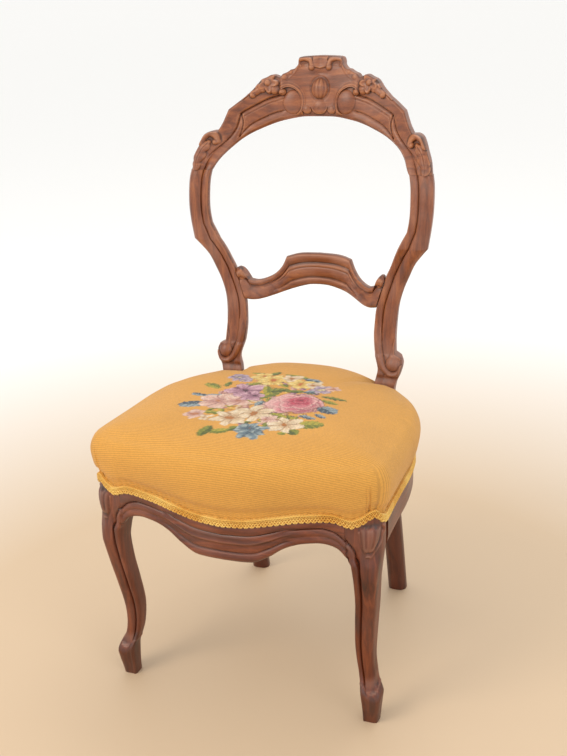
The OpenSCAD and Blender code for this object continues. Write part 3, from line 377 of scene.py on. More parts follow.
def crest_carving(x, z):
    """Height of the carving over the crest's face."""
    x = np.abs(x)
    oval = 1 - (x / OVAL_W) ** 2 - ((z - OVAL_Z) / OVAL_H) ** 2
    around = x / (OVAL_W * np.sqrt(np.clip(1 - ((z - OVAL_Z) / OVAL_H) ** 2, 0.03, 1)))
    flutes = np.exp(-(around / 0.13) ** 2) + 0.8 * np.exp(-((around - 0.58) / 0.12) ** 2)
    tongue = boss(x, z, (0, 864.5), 14, 13.5, 6) - 0.8 * np.exp(-((x / 2.2) ** 2 + ((z - 861) / 2.6) ** 2))
    drape = 5.6 * ease((15 - x) / 3.4) * ease((z - 920.5 - 0.25 * x) / 5)
    drape = drape - 1.5 * np.exp(-(x / 5) ** 2) * ease((z - 924) / 8)
    forms = [dome(oval, 10.4) - flutes * ease(oval / 0.2), shield(x, z), tongue, drape,
             flower(x, z, (87.5, 903), 19.5, 8.2, 5, 0.5)]
    for form, rows in ((boss, EYES), (scroll, SCROLLS), (leaf, CARVED_LEAVES)):
        forms += [form(x, z, *row) for row in rows]
    return np.maximum.reduce([np.clip(f, 0, None) for f in forms])


def crest_ground(x, z, share):
    """Depth of the crest's face before carving: a raised outer band, a panel between two grooves, and a bowl
    round the middle oval."""
    x = np.abs(x)
    main, side, _ = along_line(x, z, MAIN_GROOVE, 60)
    low, low_side, _ = along_line(x, z, LOWER_GROOVE, 30)
    mitre = along_line(x, z, MITRE, 12)[0]
    outside = side < 0
    depth = np.where(outside, 0.45 + 5 * np.exp(-main / 1.5), 1.7 + 3.75 * np.exp(-main / 2.6))
    depth = depth + np.where(outside, 0, 1.1 * np.exp(-((main - 7) / 1.1) ** 2) * (x < 128))
    depth = depth + np.where(low_side < 0, 3 * np.exp(-low / 1.3), 3.2 * np.exp(-low / 3.4)) * (~outside)
    depth = depth + 2.2 * np.exp(-(mitre / 1.2) ** 2)
    depth = depth + 4.2 * (1 - ease(share / 0.09)) + 2.6 * (1 - ease((1 - share) / 0.07))
    bowl = 2.4 + 2.4 * np.exp(-((x - 29) / 5.5) ** 2 - ((z - 932.5) / 3.4) ** 2) + 2.4 * (1 - ease(share / 0.09))
    return lerp(bowl, depth, ease((x - 56) / 10))


# Mouldings: place across the face from its inner edge, then depth as a share of the moulding's
POST_MOULD = [
    (0, 0.95), (0.03, 0.42), (0.05, 0.26), (0.07, 0.2), (0.1, 0.16), (0.18, 0.17), (0.25, 0.28),
    (0.32, 0.62), (0.37, 1.12, CUSP), (0.405, 0.62), (0.5, 0.26), (0.68, 0.0), (0.87, 0.2), (1, 1.2)]
CROSS_MOULD = [
    (0, 0.9), (0.05, 0.3), (0.15, 0.1), (0.21, 0.35), (0.25, 1, CUSP), (0.28, 0.5), (0.42, 0.12),
    (0.53, 0.22), (0.56, 0.5, CUSP), (0.59, 0.3), (0.64, 0.42), (0.7, 1.15, CUSP), (0.745, 0.5), (0.86, 0.02),
    (0.95, 0.2), (1, 0.9)]
CROSS_ENDS = [
    (0, 0.9), (0.06, 0.3), (0.2, 0.08), (0.42, 0.04), (0.58, 0.25), (0.7, 1.15, CUSP), (0.745, 0.5), (0.86, 0.02),
    (0.95, 0.2), (1, 0.9)]
APRON_MOULD = [
    (0, 0.3), (0.05, 0.05), (0.16, 0), (0.24, 0.25), (0.275, 0.8, CUSP), (0.31, 0.35), (0.41, 0.25), (0.46, 0.02),
    (0.485, 0.05, CUSP), (0.53, 0.5), (0.63, 0.5), (0.71, 0.62), (0.76, 1.15, CUSP), (0.795, 0.7), (0.87, 0.42),
    (0.95, 0.5), (1, 1.1)]
APRON_ENDS = [
    (0, 0.3), (0.05, 0.05), (0.17, 0), (0.29, 0.3), (0.345, 1.1, CUSP), (0.395, 0.5), (0.5, 0.22), (0.6, 0.3),
    (0.65, 0.5), (0.7, 0.42), (0.8, 0.28), (0.93, 0.45), (1, 1.1)]


def end_mould(share, s):
    """The arches' moulding, whose groove drops towards the leg, where s is 1."""
    g = lerp(0.345, 0.5, ease((s - 0.8) / 0.22))
    return curve(APRON_ENDS, np.where(share < g, share * 0.345 / g, 0.345 + (share - g) * 0.655 / (1 - g)))


# Building a mesh piece

def grid_piece(name, points, hollow=0, ring=True, flat_uv=None, capped=True):
    """A mesh that starts as a flat grid; its crossings move to the points, and its seam and ends are closed."""
    rows, columns = points.shape[:2]
    bm = bmesh.new()
    bmesh.ops.create_grid(bm, x_segments=rows - 1, y_segments=columns - 1, size=1)
    places = np.array([v.co[:2] for v in bm.verts])
    places = (places - places.min(0)) / (places.max(0) - places.min(0))
    i = np.rint(places[:, 0] * (rows - 1)).astype(int)
    j = np.rint(places[:, 1] * (columns - 1)).astype(int)
    spots = (points * MM)[i, j]
    depth = np.broadcast_to(hollow, (rows, columns))[i, j]
    # Each point keeps how far it sinks below or stands above its neighbours: the wood's finish paints grime and shade
    # into the hollows and a worn highlight onto raised points, and the braid's paints shadow into its hollows.
    layer = bm.verts.layers.float.new("hollow")
    for k, v in enumerate(bm.verts):
        v.co = spots[k]
        v[layer] = depth[k]
    if flat_uv is not None:
        unrolled = (flat_uv * MM)[i, j]
        bm.verts.index_update()
        uv = bm.loops.layers.uv.new("Unrolled")
        for f in bm.faces:
            for corner in f.loops:
                corner[uv].uv = unrolled[corner.vert.index]
    if ring:
        bmesh.ops.remove_doubles(bm, verts=bm.verts, dist=1e-6)
        if capped:
            bmesh.ops.holes_fill(bm, edges=[e for e in bm.edges if e.is_boundary], sides=0)
    bmesh.ops.recalc_face_normals(bm, faces=bm.faces)
    return finished(name, bm)


def finished(name, bm, angle=38):
    """Turns a bmesh into a piece that is smooth but for edges sharper than the angle."""
    mesh = bpy.data.meshes.new(name)
    bm.to_mesh(mesh)
    bm.free()
    mesh.shade_smooth()
    mesh.set_sharp_from_angle(angle=math.radians(angle))
    piece = bpy.data.objects.new(name, mesh)
    bpy.context.scene.collection.objects.link(piece)
    return piece


def gathered(name, grids, angle=38, cloth=False):
    """One piece made of several: flat strips of cloth, or closed tubes."""
    bm = bmesh.new()
    for points in grids:
        part = grid_piece("part", points, ring=not cloth, flat_uv=points[..., :2] if cloth else None)
        bm.from_mesh(part.data)
        bpy.data.objects.remove(part)
    return finished(name, bm, angle)


def placed(piece, material, slot, *nodes):
    """Gives a piece its finish, ties it to the chair, and hides the nodes that it stands for."""
    piece.data.materials.append(material)
    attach(piece, "root")
    if nodes:
        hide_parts(*nodes)
    return piece


def other_side(points):
    """The same grid on the chair's other side."""
    return (points * [-1, 1, 1])[:, ::-1]


def both_sides(name, points, dents, material, slot, node):
    """A piece and its twin on the chair's other side."""
    for side, grid, depth in (("left", points, dents), ("right", other_side(points), dents[:, ::-1])):
        placed(grid_piece(f"{side}_{name}", grid, depth), material, slot, f"{node}_{side}")


# Materials

def tone(hex_value):
    """Linear colour from an sRGB hex value."""
    parts = [int(hex_value[i:i + 2], 16) / 255 for i in (1, 3, 5)]
    return (*[c / 12.92 if c <= 0.04045 else ((c + 0.055) / 1.055) ** 2.4 for c in parts], 1)


def new_material(name):
    material = bpy.data.materials.new(name)
    material.use_nodes = True
    return material, material.node_tree, material.node_tree.nodes["Principled BSDF"]


def add(tree, kind, settings=None, **links):
    """Adds a node, or takes one that is there, with its settings, colour stops, values and links. A socket goes
    by its name or number, and a node given as a value is linked by the first output that it has in use."""
    node = tree.nodes.new("ShaderNode" + kind) if isinstance(kind, str) else kind
    settings = dict(settings or {})
    stops = settings.pop("stops", ())
    for key, value in settings.items():
        setattr(node, key, value)
    for k, (place, shade) in enumerate(stops):
        element = node.color_ramp.elements[k] if k < 2 else node.color_ramp.elements.new(1)
        element.position = place
        element.color = tone(shade) if isinstance(shade, str) else (shade, shade, shade, 1)
    for socket, value in links.items():
        target = node.inputs[int(socket[1:]) if socket[1:].isdigit() else socket.replace("_", " ")]
        if isinstance(value, bpy.types.Node):
            value = next(output for output in value.outputs if output.enabled)
        if isinstance(value, bpy.types.NodeSocket):
            tree.links.new(value, target)
        else:
            target.default_value = value
    return node


BLEND = {"data_type": "RGBA"}
SHADE = {"data_type": "RGBA", "blend_type": "MULTIPLY"}


def along_grain(tree, place, along, share):
    """Coordinates that draw a pattern out along the grain; along is 0 to 2 for x to z."""
    stretch = [1.0, 1.0, 1.0]
    stretch[along] = share
    return add(tree, "Mapping", Vector=place, Scale=stretch)


def polished_walnut(name, along, dark, middle, light, wear_and_highlight_tone, bloomed=0.3, under="#ffffff"):
    """Old walnut, sawn and carved, under worn shellac: streaked grain, open pores, grime and painted shade in the
    hollows, and raised edges worn paler by hands, with a painted highlight."""
    material, tree, shader = new_material(name)
    place = add(tree, "TexCoord").outputs["Object"]
    figure = along_grain(tree, place, along, 0.07)
    # Growth rings show as bands 9 mm apart, pores as dashes 0.7 mm wide and 10 mm long, and wear as patches
    # 7 cm wide.
    bands = add(tree, "TexNoise", Vector=figure, Scale=110, Detail=5, Roughness=0.55, Distortion=0.6)
    pores = add(tree, "TexNoise", Vector=figure, Scale=1500, Detail=2, Roughness=0.6)
    clouds = add(tree, "TexNoise", Vector=place, Scale=14, Detail=3, Roughness=0.5)
    wood = add(tree, "ValToRGB", {"stops": [(0.28, dark), (0.5, middle), (0.72, light)]}, Fac=bands)
    pitted = add(tree, "ValToRGB", {"stops": [(0.36, 0.55), (0.5, 1.0)]}, Fac=pores)
    worn = add(tree, "ValToRGB", {"stops": [(0.3, 0.8), (0.7, 1.12)]}, Fac=clouds)
    colour = add(tree, "Mix", SHADE, _0=0.6, _6=wood, _7=pitted)
    colour = add(tree, "Mix", SHADE, _0=0.8, _6=colour, _7=worn)
    # Grime and painted shade darken the hollows, and the raised edges are worn pale by hands and carry a painted
    # highlight.
    depth = add(tree, "Attribute", {"attribute_name": "hollow"}).outputs["Fac"]
    dirt_and_shade = add(tree, "MapRange", Value=depth, From_Min=0.05, From_Max=1.0, To_Min=0.0, To_Max=0.72)
    wear_and_highlight = add(tree, "MapRange", Value=depth, From_Min=-0.5, From_Max=-0.08, To_Min=0.55, To_Max=0.0)
    colour = add(tree, "Mix", BLEND, _0=dirt_and_shade, _6=colour, _7=tone("#24130b"))
    colour = add(tree, "Mix", BLEND, _0=wear_and_highlight, _6=colour, _7=tone(wear_and_highlight_tone))
    # Old wax lies as a grey bloom in the patches, and the wood is darker below the seat.
    bloom = add(tree, "MapRange", Value=clouds, From_Min=0.45, From_Max=0.7, To_Max=bloomed)
    colour = add(tree, "Mix", BLEND, _0=bloom, _6=colour, _7=tone("#94776a"))
    high = add(tree, "MapRange", Value=add(tree, "SeparateXYZ", Vector=place).outputs["Z"], From_Min=0.25,
               From_Max=0.5)
    low = add(tree, "ValToRGB", {"stops": [(0, under), (1, "#ffffff")]}, Fac=high)
    colour = add(tree, "Mix", SHADE, _0=1.0, _6=colour, _7=low)
    gloss = add(tree, "MapRange", Value=clouds, From_Min=0.3, From_Max=0.7, To_Min=0.34, To_Max=0.5)
    bump = add(tree, "Bump", Strength=0.25, Distance=0.0004, Height=pores)
    add(tree, shader, Base_Color=colour, Roughness=gloss, Normal=bump, Coat_Weight=0.14, Coat_Roughness=0.3)
    return material


# Each wood: dark, middle and light grain, then the tone of its worn edges with their painted highlight.
LIGHT_WOOD = ("#61331f", "#874a2a", "#a56237", "#b8784c")
DARK_WOOD = ("#3f1808", "#672c11", "#86411d", "#8e6450")
WALNUT_UP = polished_walnut("walnut_grain_upright", 2, *LIGHT_WOOD, 0.3, "#a88478")
WALNUT_ACROSS = polished_walnut("walnut_grain_across", 0, *LIGHT_WOOD)
LEG_WALNUT = polished_walnut("dark_walnut_grain_upright", 2, *DARK_WOOD, 0.1)
RAIL_WALNUT = polished_walnut("dark_walnut_grain_across", 0, *DARK_WOOD, 0.16)
SIDE_WALNUT = polished_walnut("dark_walnut_grain_lengthwise", 1, *DARK_WOOD, 0.3)


def bare_beech():
    """Planed beech left bare inside the seat: pale, with short dark flecks."""
    material, tree, shader = new_material("bare_beech")
    figure = along_grain(tree, add(tree, "TexCoord").outputs["Object"], 0, 0.12)
    # Bands 8 mm apart, and flecks 1 mm wide and 9 mm long.
    bands = add(tree, "TexNoise", Vector=figure, Scale=130, Detail=4)
    flecks = add(tree, "TexNoise", Vector=figure, Scale=900, Detail=2)
    wood = add(tree, "ValToRGB", {"stops": [(0.3, "#9c7450"), (0.7, "#c49a6e")]}, Fac=bands)
    dots = add(tree, "ValToRGB", {"stops": [(0.36, 0.62), (0.48, 1.0)]}, Fac=flecks)
    colour = add(tree, "Mix", SHADE, _0=0.7, _6=wood, _7=dots)
    bump = add(tree, "Bump", Strength=0.3, Distance=0.0004, Height=flecks)
    add(tree, shader, Base_Color=colour, Roughness=0.62, Normal=bump)
    return material


def drawn_steel():
    """Drawn steel wire and screws, dull with age: grey, with a brown bloom in spots 4 mm wide."""
    material, tree, shader = new_material("drawn_steel")
    bloom = add(tree, "TexNoise", Vector=add(tree, "TexCoord").outputs["Object"], Scale=260, Detail=4)
    colour = add(tree, "ValToRGB", {"stops": [(0.4, "#8d8a84"), (0.62, "#6b5a4a")]}, Fac=bloom)
    rough = add(tree, "MapRange", Value=bloom, To_Min=0.3, To_Max=0.62)
    add(tree, shader, Base_Color=colour, Roughness=rough, Metallic=0.9)
    return material


BEECH, STEEL = bare_beech(), drawn_steel()


def dyed_wool(tree, flat, place):
    """The wool's own colours, a little lighter or darker from stitch to stitch, and faded in patches 11 cm
    wide."""
    cells = add(tree, "Mapping", Vector=flat, Scale=(2 / STITCH, 2 / STITCH, 1))
    stitch = add(tree, "VectorMath", {"operation": "FLOOR"}, _0=cells)
    stitch = add(tree, "TexWhiteNoise", {"noise_dimensions": "3D"}, Vector=stitch)
    uneven = add(tree, "ValToRGB", {"stops": [(0.0, 0.88), (1.0, 1.0)]}, Fac=stitch)
    fade = add(tree, "TexNoise", Vector=place, Scale=9, Detail=3)
    faded = add(tree, "ValToRGB", {"stops": [(0.3, 0.9), (0.7, 1.0)]}, Fac=fade)
    wool = add(tree, "Mix", SHADE, _0=1.0, _6=add(tree, "Attribute", {"attribute_name": "wool"}), _7=uneven)
    return add(tree, "Mix", SHADE, _0=1.0, _6=wool, _7=faded)


def woven(name, colours, pitch, depth, rough=0.9, ribs=1.0):
    """Woven or stitched cloth on its own unrolled coordinates: threads a pitch apart, and ribs times as close
    from side to side. The colours are a dark and a light one, or a function that gives the cloth its own."""
    material, tree, shader = new_material(name)
    flat = add(tree, "UVMap", {"uv_map": "Unrolled"})
    place = add(tree, "TexCoord").outputs["Object"]
    threads = add(tree, "Mapping", Vector=flat, Scale=(ribs / pitch, 1 / pitch, 1))
    threads = add(tree, "SeparateXYZ", Vector=threads)
    across = add(tree, "Math", {"operation": "PINGPONG"}, _0=threads.outputs["X"], _1=0.5)
    along = add(tree, "Math", {"operation": "PINGPONG"}, _0=threads.outputs["Y"], _1=0.5)
    if ribs > 1:
        across = add(tree, "Math", {"operation": "MULTIPLY_ADD"}, _0=across, _1=0.3, _2=0.3)
    over = add(tree, "Math", {"operation": "MULTIPLY"}, _0=across, _1=along)
    # Fuzz 0.7 mm long stands on the threads, and the colour varies in patches 45 mm wide.
    fuzz = add(tree, "TexNoise", Vector=place, Scale=1400, Detail=2)
    height = add(tree, "Math", {"operation": "MULTIPLY_ADD"}, _0=over, _1=4.0, _2=fuzz)
    if callable(colours):
        base = colours(tree, flat, place)
    else:
        patches = add(tree, "TexNoise", Vector=place, Scale=22, Detail=4)
        base = add(tree, "ValToRGB", {"stops": [(0.35, colours[0]), (0.65, colours[1])]}, Fac=patches)
    gaps = add(tree, "ValToRGB", {"stops": [(0.0, 0.62), (0.09, 1.0)]}, Fac=over)
    colour = add(tree, "Mix", SHADE, _0=0.8, _6=base, _7=gaps)
    sunk = add(tree, "Attribute", {"attribute_name": "hollow"}).outputs["Fac"]
    sunk = add(tree, "MapRange", Value=sunk, From_Min=0.05, From_Max=0.6)
    shadow = add(tree, "ValToRGB", {"stops": [(0, "#ffffff"), (1, "#cc9c60")]}, Fac=sunk)
    colour = add(tree, "Mix", SHADE, _0=1.0, _6=colour, _7=shadow)
    bump = add(tree, "Bump", Strength=0.6, Distance=depth, Height=height)
    add(tree, shader, Base_Color=colour, Roughness=rough, Normal=bump, Sheen_Weight=0.1, Sheen_Roughness=0.5)
    return material


# Jute webbing, tightly woven: pale tan, with threads that show 2.2 mm apart.
JUTE_WEB = woven("jute_webbing", ("#9b8a68", "#c2b08a"), 2.2 * MM, 0.6 * MM)
# Hessian, woven loosely from jute: dull brown and coarse, threads 1.8 mm apart.
HESSIAN = woven("woven_hessian", ("#97804f", "#b39a68"), 1.8 * MM, 0.5 * MM)
# Curled horsehair, teased into a pad: dark and matted. Hairs are too fine to show, so they are 4 mm tufts.
HAIR = woven("curled_hair_stuffing", ("#2f241c", "#54402f"), 4 * MM, 2 * MM)
# Silk gimp, woven over cords: bright gold with a soft gleam, threads 1.2 mm apart.
BRAID = woven("gimp_braid_silk", ("#eab045", "#ffd673"), 1.2 * MM, 0.4 * MM, 0.6)
# Needlepoint, wool tent stitches in rows on canvas: matt, with fine ribs from side to side. The stitches are
# 3.4 mm apart, coarser than real ones, so that they show.
STITCH = 3.4 * MM
WOOL = woven("needlepoint_wool", dyed_wool, STITCH, 0.7 * MM, 0.88, 2.0)


# The crest, carved from one board

CREST_END = 36
# Rounded backs: share of the way from the inner edge to the outer one, and of the thickness
POST_PROFILE = [(1, 0.6), (0.86, 1), (0.2, 1), (0, 0.45)]
CREST_PROFILE = [(1, 0.75), (0.93, 1), (0.2, 1), (0, 0.45)]
# Petals and balls that stand a little past the sawn outline: place, width and height
RIM_PETALS = [(118, 5, 1.6), (99, 6.5, 2), (81, 6.5, 2), (64, 4.5, 2.4), (50, 3, 1.2)]


def crest_grid(steps=7, across=92):
    """The crest in rings from one joint to its middle, and its mirror image from there to the other joint."""
    places = np.arange(CREST_END * steps + 1) / steps
    outer = np.stack(crest_point(curve(CREST_OUTER, places)), -1)
    bumps = sum(tall * np.exp(-((outer[:, 0] - spot) / wide) ** 2) for spot, wide, tall in RIM_PETALS)
    outer += (bumps * (outer[:, 1] > 880))[:, None] * [0.35, 0.94]
    inner = np.stack(crest_point(curve(CREST_INNER, places)), -1)
    share = np.linspace(0, 1, across + 1)[None]
    x = lerp(inner[:, :1], outer[:, :1], share)
    z = lerp(inner[:, 1:], outer[:, 1:], share)
    # Near the very rim the carving rounds over, so that its outline isn't a sawn wall.
    rim = ease(share / 0.06) * (0.45 + 0.55 * ease((1 - share) / 0.035))
    ground = lerp(MOULD * curve(POST_MOULD, share), crest_ground(x, z, share), ease((places - 0.6) / 6)[:, None])
    raised = crest_carving(x, z) * rim
    relief = lerp(ground, np.minimum(ground, 2.5) - raised, ease(raised / 0.8))
    bend = ease(places / 9)[:, None]
    front = at(x, back_y(lerp(outer[:, :1], x, bend), z) + relief, z)
    back = []
    for post, crest in zip(POST_PROFILE, CREST_PROFILE):
        s, d = (lerp(a, b, ease(places / 7)) for a, b in zip(post, crest))
        px, pz = lerp(inner[:, 0], outer[:, 0], s), lerp(inner[:, 1], outer[:, 1], s)
        back.append(at(px, back_y(lerp(outer[:, 0], px, bend[:, 0]), pz) + BACK_T * d, pz))
    points = backed(front, back)
    # Grime and painted shade fill the carving's hollows, close in and also spread wide round them.
    dents = over_grid(points, hollows(relief) + 0.3 * hollows(relief, 24))
    twin = points[::-1][1:] * [-1, 1, 1]
    return np.concatenate([points, twin]), np.concatenate([dents, dents[::-1][1:]])


placed(grid_piece("carved_crest", *crest_grid()), WALNUT_ACROSS, "walnut", "crest_rail")


# The posts, from the crest to the floor

MOULD_END_Z, SCROLL_TOP_Z = 436, 486
ROLL = [(120.5, 528), (121.5, 506), (124, 486), (129, 466), (137, 450.5), (148, 443.5), (159, 446), (164.5, 456)]
NECK = [(157, 524), (158, 500), (154, 474)]


def post_grid(across=46):
    """A post in rings from the floor to the crest, with its face moulded only above the seat."""
    tops = RAIL_TOP + BACK_H * np.array(cusps(POST_OUTER + POST_INNER))
    z = np.unique(np.concatenate([np.arange(0, MOULD_END_Z, 3.0), np.arange(MOULD_END_Z, SCROLL_TOP_Z, 0.9),
                                  np.arange(SCROLL_TOP_Z, CREST_Z - 1, 2.2), tops, [CREST_Z - GLUE]]))
    z = z[np.concatenate([[True], np.diff(z) > 0.3])]
    z[-1] = CREST_Z - GLUE
    a, b, y = post_in(z)[:, None], post_out(z)[:, None], post_face(z)[:, None]
    share = np.linspace(0, 1, across + 1)[None]
    m = MOULD * lerp(0.12, 1, ease((z - MOULD_END_Z) / 16))[:, None]
    x, zz = lerp(a, b, share), z[:, None] + 0 * share
    # The inner bead of the moulding widens, and curls under a ball at the foot of the back.
    roll = scroll(x, zz, ROLL, 7.2, 4.2, 6.2) * ease((530 - zz) / 46)
    ball = boss(x, zz, (150.5, 461), 12.2, 12.6, 7.4)
    neck = scroll(x, zz, NECK, 5, 11, 4.6) * ease((524 - zz) / 30)
    raised = np.maximum.reduce([roll, ball, neck]) * ease((share + 0.04) / 0.1) * ease((1.02 - share) / 0.06)
    # The moulding fades under the scroll, and the rear leg is rounded at its corners below the seat.
    bare = 1 - ease((540 - zz) / 40) * ease((zz - 440) / 8)
    under = 2.6 * np.exp(-((zz - MOULD_END_Z) / 5) ** 2)
    round_leg = 8 * np.abs(2 * share - 1) ** 3.2 * ease((330 - zz) / 40)
    ground = m * curve(POST_MOULD, share) * lerp(0.35, 1, bare) + under + round_leg + 1.6 * (1 - bare)
    relief = lerp(ground, np.minimum(ground, 2) - raised, ease(raised / 0.8))
    d = post_depth(z)
    points = backed(at(x, y + relief, zz), [at(lerp(a, b, s)[:, 0], y[:, 0] + d * k, z) for s, k in POST_PROFILE])
    return points, over_grid(points, hollows(relief))


both_sides("post", *post_grid(), WALNUT_UP, "walnut", "back_post")


# The cross rail

CROSS_TOP = [
    (0, 1.035), (0.24, 1.01), (0.41, 0.93, CUSP), (0.49, 0.7), (0.57, 0.56), (0.67, 0.475),
    (0.79, 0.44), (0.878, 0.49, CUSP), (0.9, 0.67), (0.93, 0.775), (0.97, 0.775), (1, 0.7)]
KNOB = (121.5, 592.5)
CROSS_LOW = [(0, 0.283), (0.15, 0.265), (0.38, 0.165), (0.64, 0.05), (0.8, 0), (0.9, 0), (1, 0.03)]


def cross_grid(across=34):
    """The cross rail in rings from side to side, bowed round the sitter's back."""
    t = np.unique(np.concatenate([np.linspace(0, 1, 111), cusps(CROSS_TOP)]))
    t = np.concatenate([-t[:0:-1], t])
    low_z = CROSS_TOP_Z - CROSS_H * 1.394
    low = lerp(low_z, CROSS_TOP_Z, curve(CROSS_LOW, np.abs(t)))[:, None]
    top = lerp(low_z, CROSS_TOP_Z, curve(CROSS_TOP, np.abs(t)))[:, None]

    def spot(share, depth):
        z = lerp(low, top, share)
        x = t[:, None] * (post_in(z) - 2 * GLUE)
        q = np.abs(x) / post_in(z)
        y = post_face(z) + CROSS_BOW * (0.8 * (1 - ease((q - 0.3) / 0.7)) + 0.2 * (1 - q ** 2.3))
        return x, y + depth, z

    share = np.linspace(0, 1, across + 1)[None]
    x, y, z = spot(share, 0)
    knob = boss(np.abs(x), z, KNOB, 9.6, 9.6, 7) * ease((1 - np.abs(t)) / 0.02)[:, None]
    ends = ease((np.abs(t) - 0.48) / 0.2)[:, None]
    relief = MOULD * 0.8 * lerp(curve(CROSS_MOULD, share), curve(CROSS_ENDS, share), ends) - knob
    points = backed(at(x, y + relief, z), [at(*(c[:, 0] for c in spot(np.full((1, 1), s), CROSS_T * k)))
                                           for s, k in [(1, 0.65), (0.88, 1), (0.12, 1), (0, 0.65)]])
    return points, over_grid(points, hollows(relief))


placed(grid_piece("curved_cross_rail", *cross_grid()), WALNUT_ACROSS, "walnut", "cross_rail")


# The front seat rail

def front_rail_grid(across=44):
    """The front rail in rings between the legs, with ledges for the cover and for the webbing."""
    s = np.unique(np.concatenate([np.linspace(0, 1, 121), cusps(APRON)]))
    s = np.concatenate([-s[:0:-1], s])
    x = s * (LEG_IN_X - GLUE)
    t = share_at_x(np.abs(x))
    y, h = plan(t)[:, 1], hem(t)
    low = lerp(APRON_Z, ARCH_Z, curve(APRON, np.abs(s)))
    ledge = np.maximum(WEB_Z, low + GLUE)
    share = np.linspace(0, 1, across + 1)[None]
    far = np.abs(s)[:, None]
    relief = MOULD * 0.85 * lerp(curve(APRON_MOULD, share), end_mould(share, far), ease((far - 0.44) / 0.2))
    front = at(x[:, None] + 0 * share, y[:, None] + relief, lerp(h[:, None], low[:, None], share))
    lip, far_side = y + RAIL_T * 0.62, y + RAIL_T
    points = joined(at(x, far_side, RAIL_TOP), at(x, y + REBATE, RAIL_TOP), at(x, y + REBATE, h), front,
                    at(x, lip, low), at(x, lip, ledge), at(x, far_side, ledge), at(x, far_side, RAIL_TOP))
    return points, over_grid(points, hollows(relief), 3)


placed(grid_piece("shaped_front_rail", *front_rail_grid()), RAIL_WALNUT, "dark_walnut", "front_seat_rail")


# The side rails

def side_rail_grid():
    """A side rail in rings from the front leg to the back post."""
    start, side_share, end = share_at_y(LEG_BACK_Y + GLUE), share_at_y(LEG_BACK_Y), share_at_y(POST_Y - GLUE)
    t = np.linspace(start, end, 90)
    p, n, h = plan(t), -plan_out(t), hem(t)
    k = (t - side_share) / (end - side_share)
    lean = (ease(k * 6) * (1 - ease((k - 0.72) / 0.28)))[:, None]
    d = np.concatenate([lerp(-1, n[:, :1], lean), lerp(0, n[:, 1:], lean)], 1)
    d /= np.linalg.norm(d, axis=1, keepdims=True)
    w = RAIL_T * lerp(1, 1.15, ease((t - lerp(side_share, end, 0.72)) / ((end - side_share) * 0.28)))
    cut = REBATE / (n * d).sum(1)

    def line(inset, z):
        inset = np.broadcast_to(inset, t.shape)
        return at(p[:, 0] + d[:, 0] * inset, p[:, 1] + d[:, 1] * inset, z)

    swell = rounded(joined(line(0, h - 0.1), line(0, lerp(h, RAIL_LOW, 0.6)),
                           line(REBATE * 0.3, lerp(h, RAIL_LOW, 0.9)), line(REBATE, RAIL_LOW)))
    return joined(line(w, RAIL_TOP), line(cut, RAIL_TOP), line(cut, h), line(0, h), swell,
                  line(w * 0.6, RAIL_LOW), line(w * 0.6, WEB_Z), line(w, WEB_Z), line(w, RAIL_TOP))


side_points = side_rail_grid()
both_sides("side_rail", side_points, np.zeros(side_points.shape[:2]), SIDE_WALNUT, "dark_walnut", "side_seat_rail")


# The front legs, with their carved knees and block feet

LEG_END = 0.95
LEG = [
    (0, (1, 0.152, FOOT_W / ANKLE_W, FOOT_W / ANKLE_W)), (0.07, (1.005, 0.148, 1, 0.96)),
    (0.172, (1.01, 0.144, 1.2, 1.2), CUSP), (0.195, (1.003, 0.147, 1.15, 1.15)),
    (0.228, (0.984, 0.1615, 1.02, 1)), (0.28, (0.966, 0.175, 1, 0.94)), (0.36, (0.952, 0.178, 1.03, 1)),
    (0.45, (0.953, 0.175, 1.12, 1.12)), (0.59, (0.971, 0.1595, 1.19, 1.23)), (0.72, (0.99, 0.143, 1.25, 1.31)),
    (0.86, (1, 0.1255, 1.37, 1.46)), (LEG_END, (1.002, 0.12, 1.55, 1.6))]
# Places 0 to 9 lie across the leg's face, with its groove at 3, and 9 to 14 go round its back.
FACE_END, RING_END, GROOVE = 9, 14, 3
LEG_RING = [
    (0, (-0.5, -0.36)), (1, (-0.42, -0.5)), (2, (-0.27, -0.485)), (GROOVE, (-0.17, -0.36), CUSP),
    (4, (-0.08, -0.485)), (5, (0.14, -0.5)), (6, (0.35, -0.46)), (7, (0.47, -0.34)), (8, (0.5, -0.05)),
    (9, (0.5, 0.28)), (10, (0.38, 0.48)), (11, (0, 0.5)), (12, (-0.38, 0.48)), (13, (-0.5, 0.28)),
    (RING_END, (-0.5, -0.36))]
LEG_PLAIN = [row if row[0] != GROOVE else (GROOVE, (-0.17, -0.488)) for row in LEG_RING]
LEG_SHARE = float(share_at_x(LEG_IN_X))
CREASE = 0.3393
LEG_TOP = [LEG_SHARE, lerp(LEG_SHARE, CREASE, 0.5), CREASE, 0.35, 0.3643, 0.3821, 0.4, 0.425, 0.4464, 0.4732]


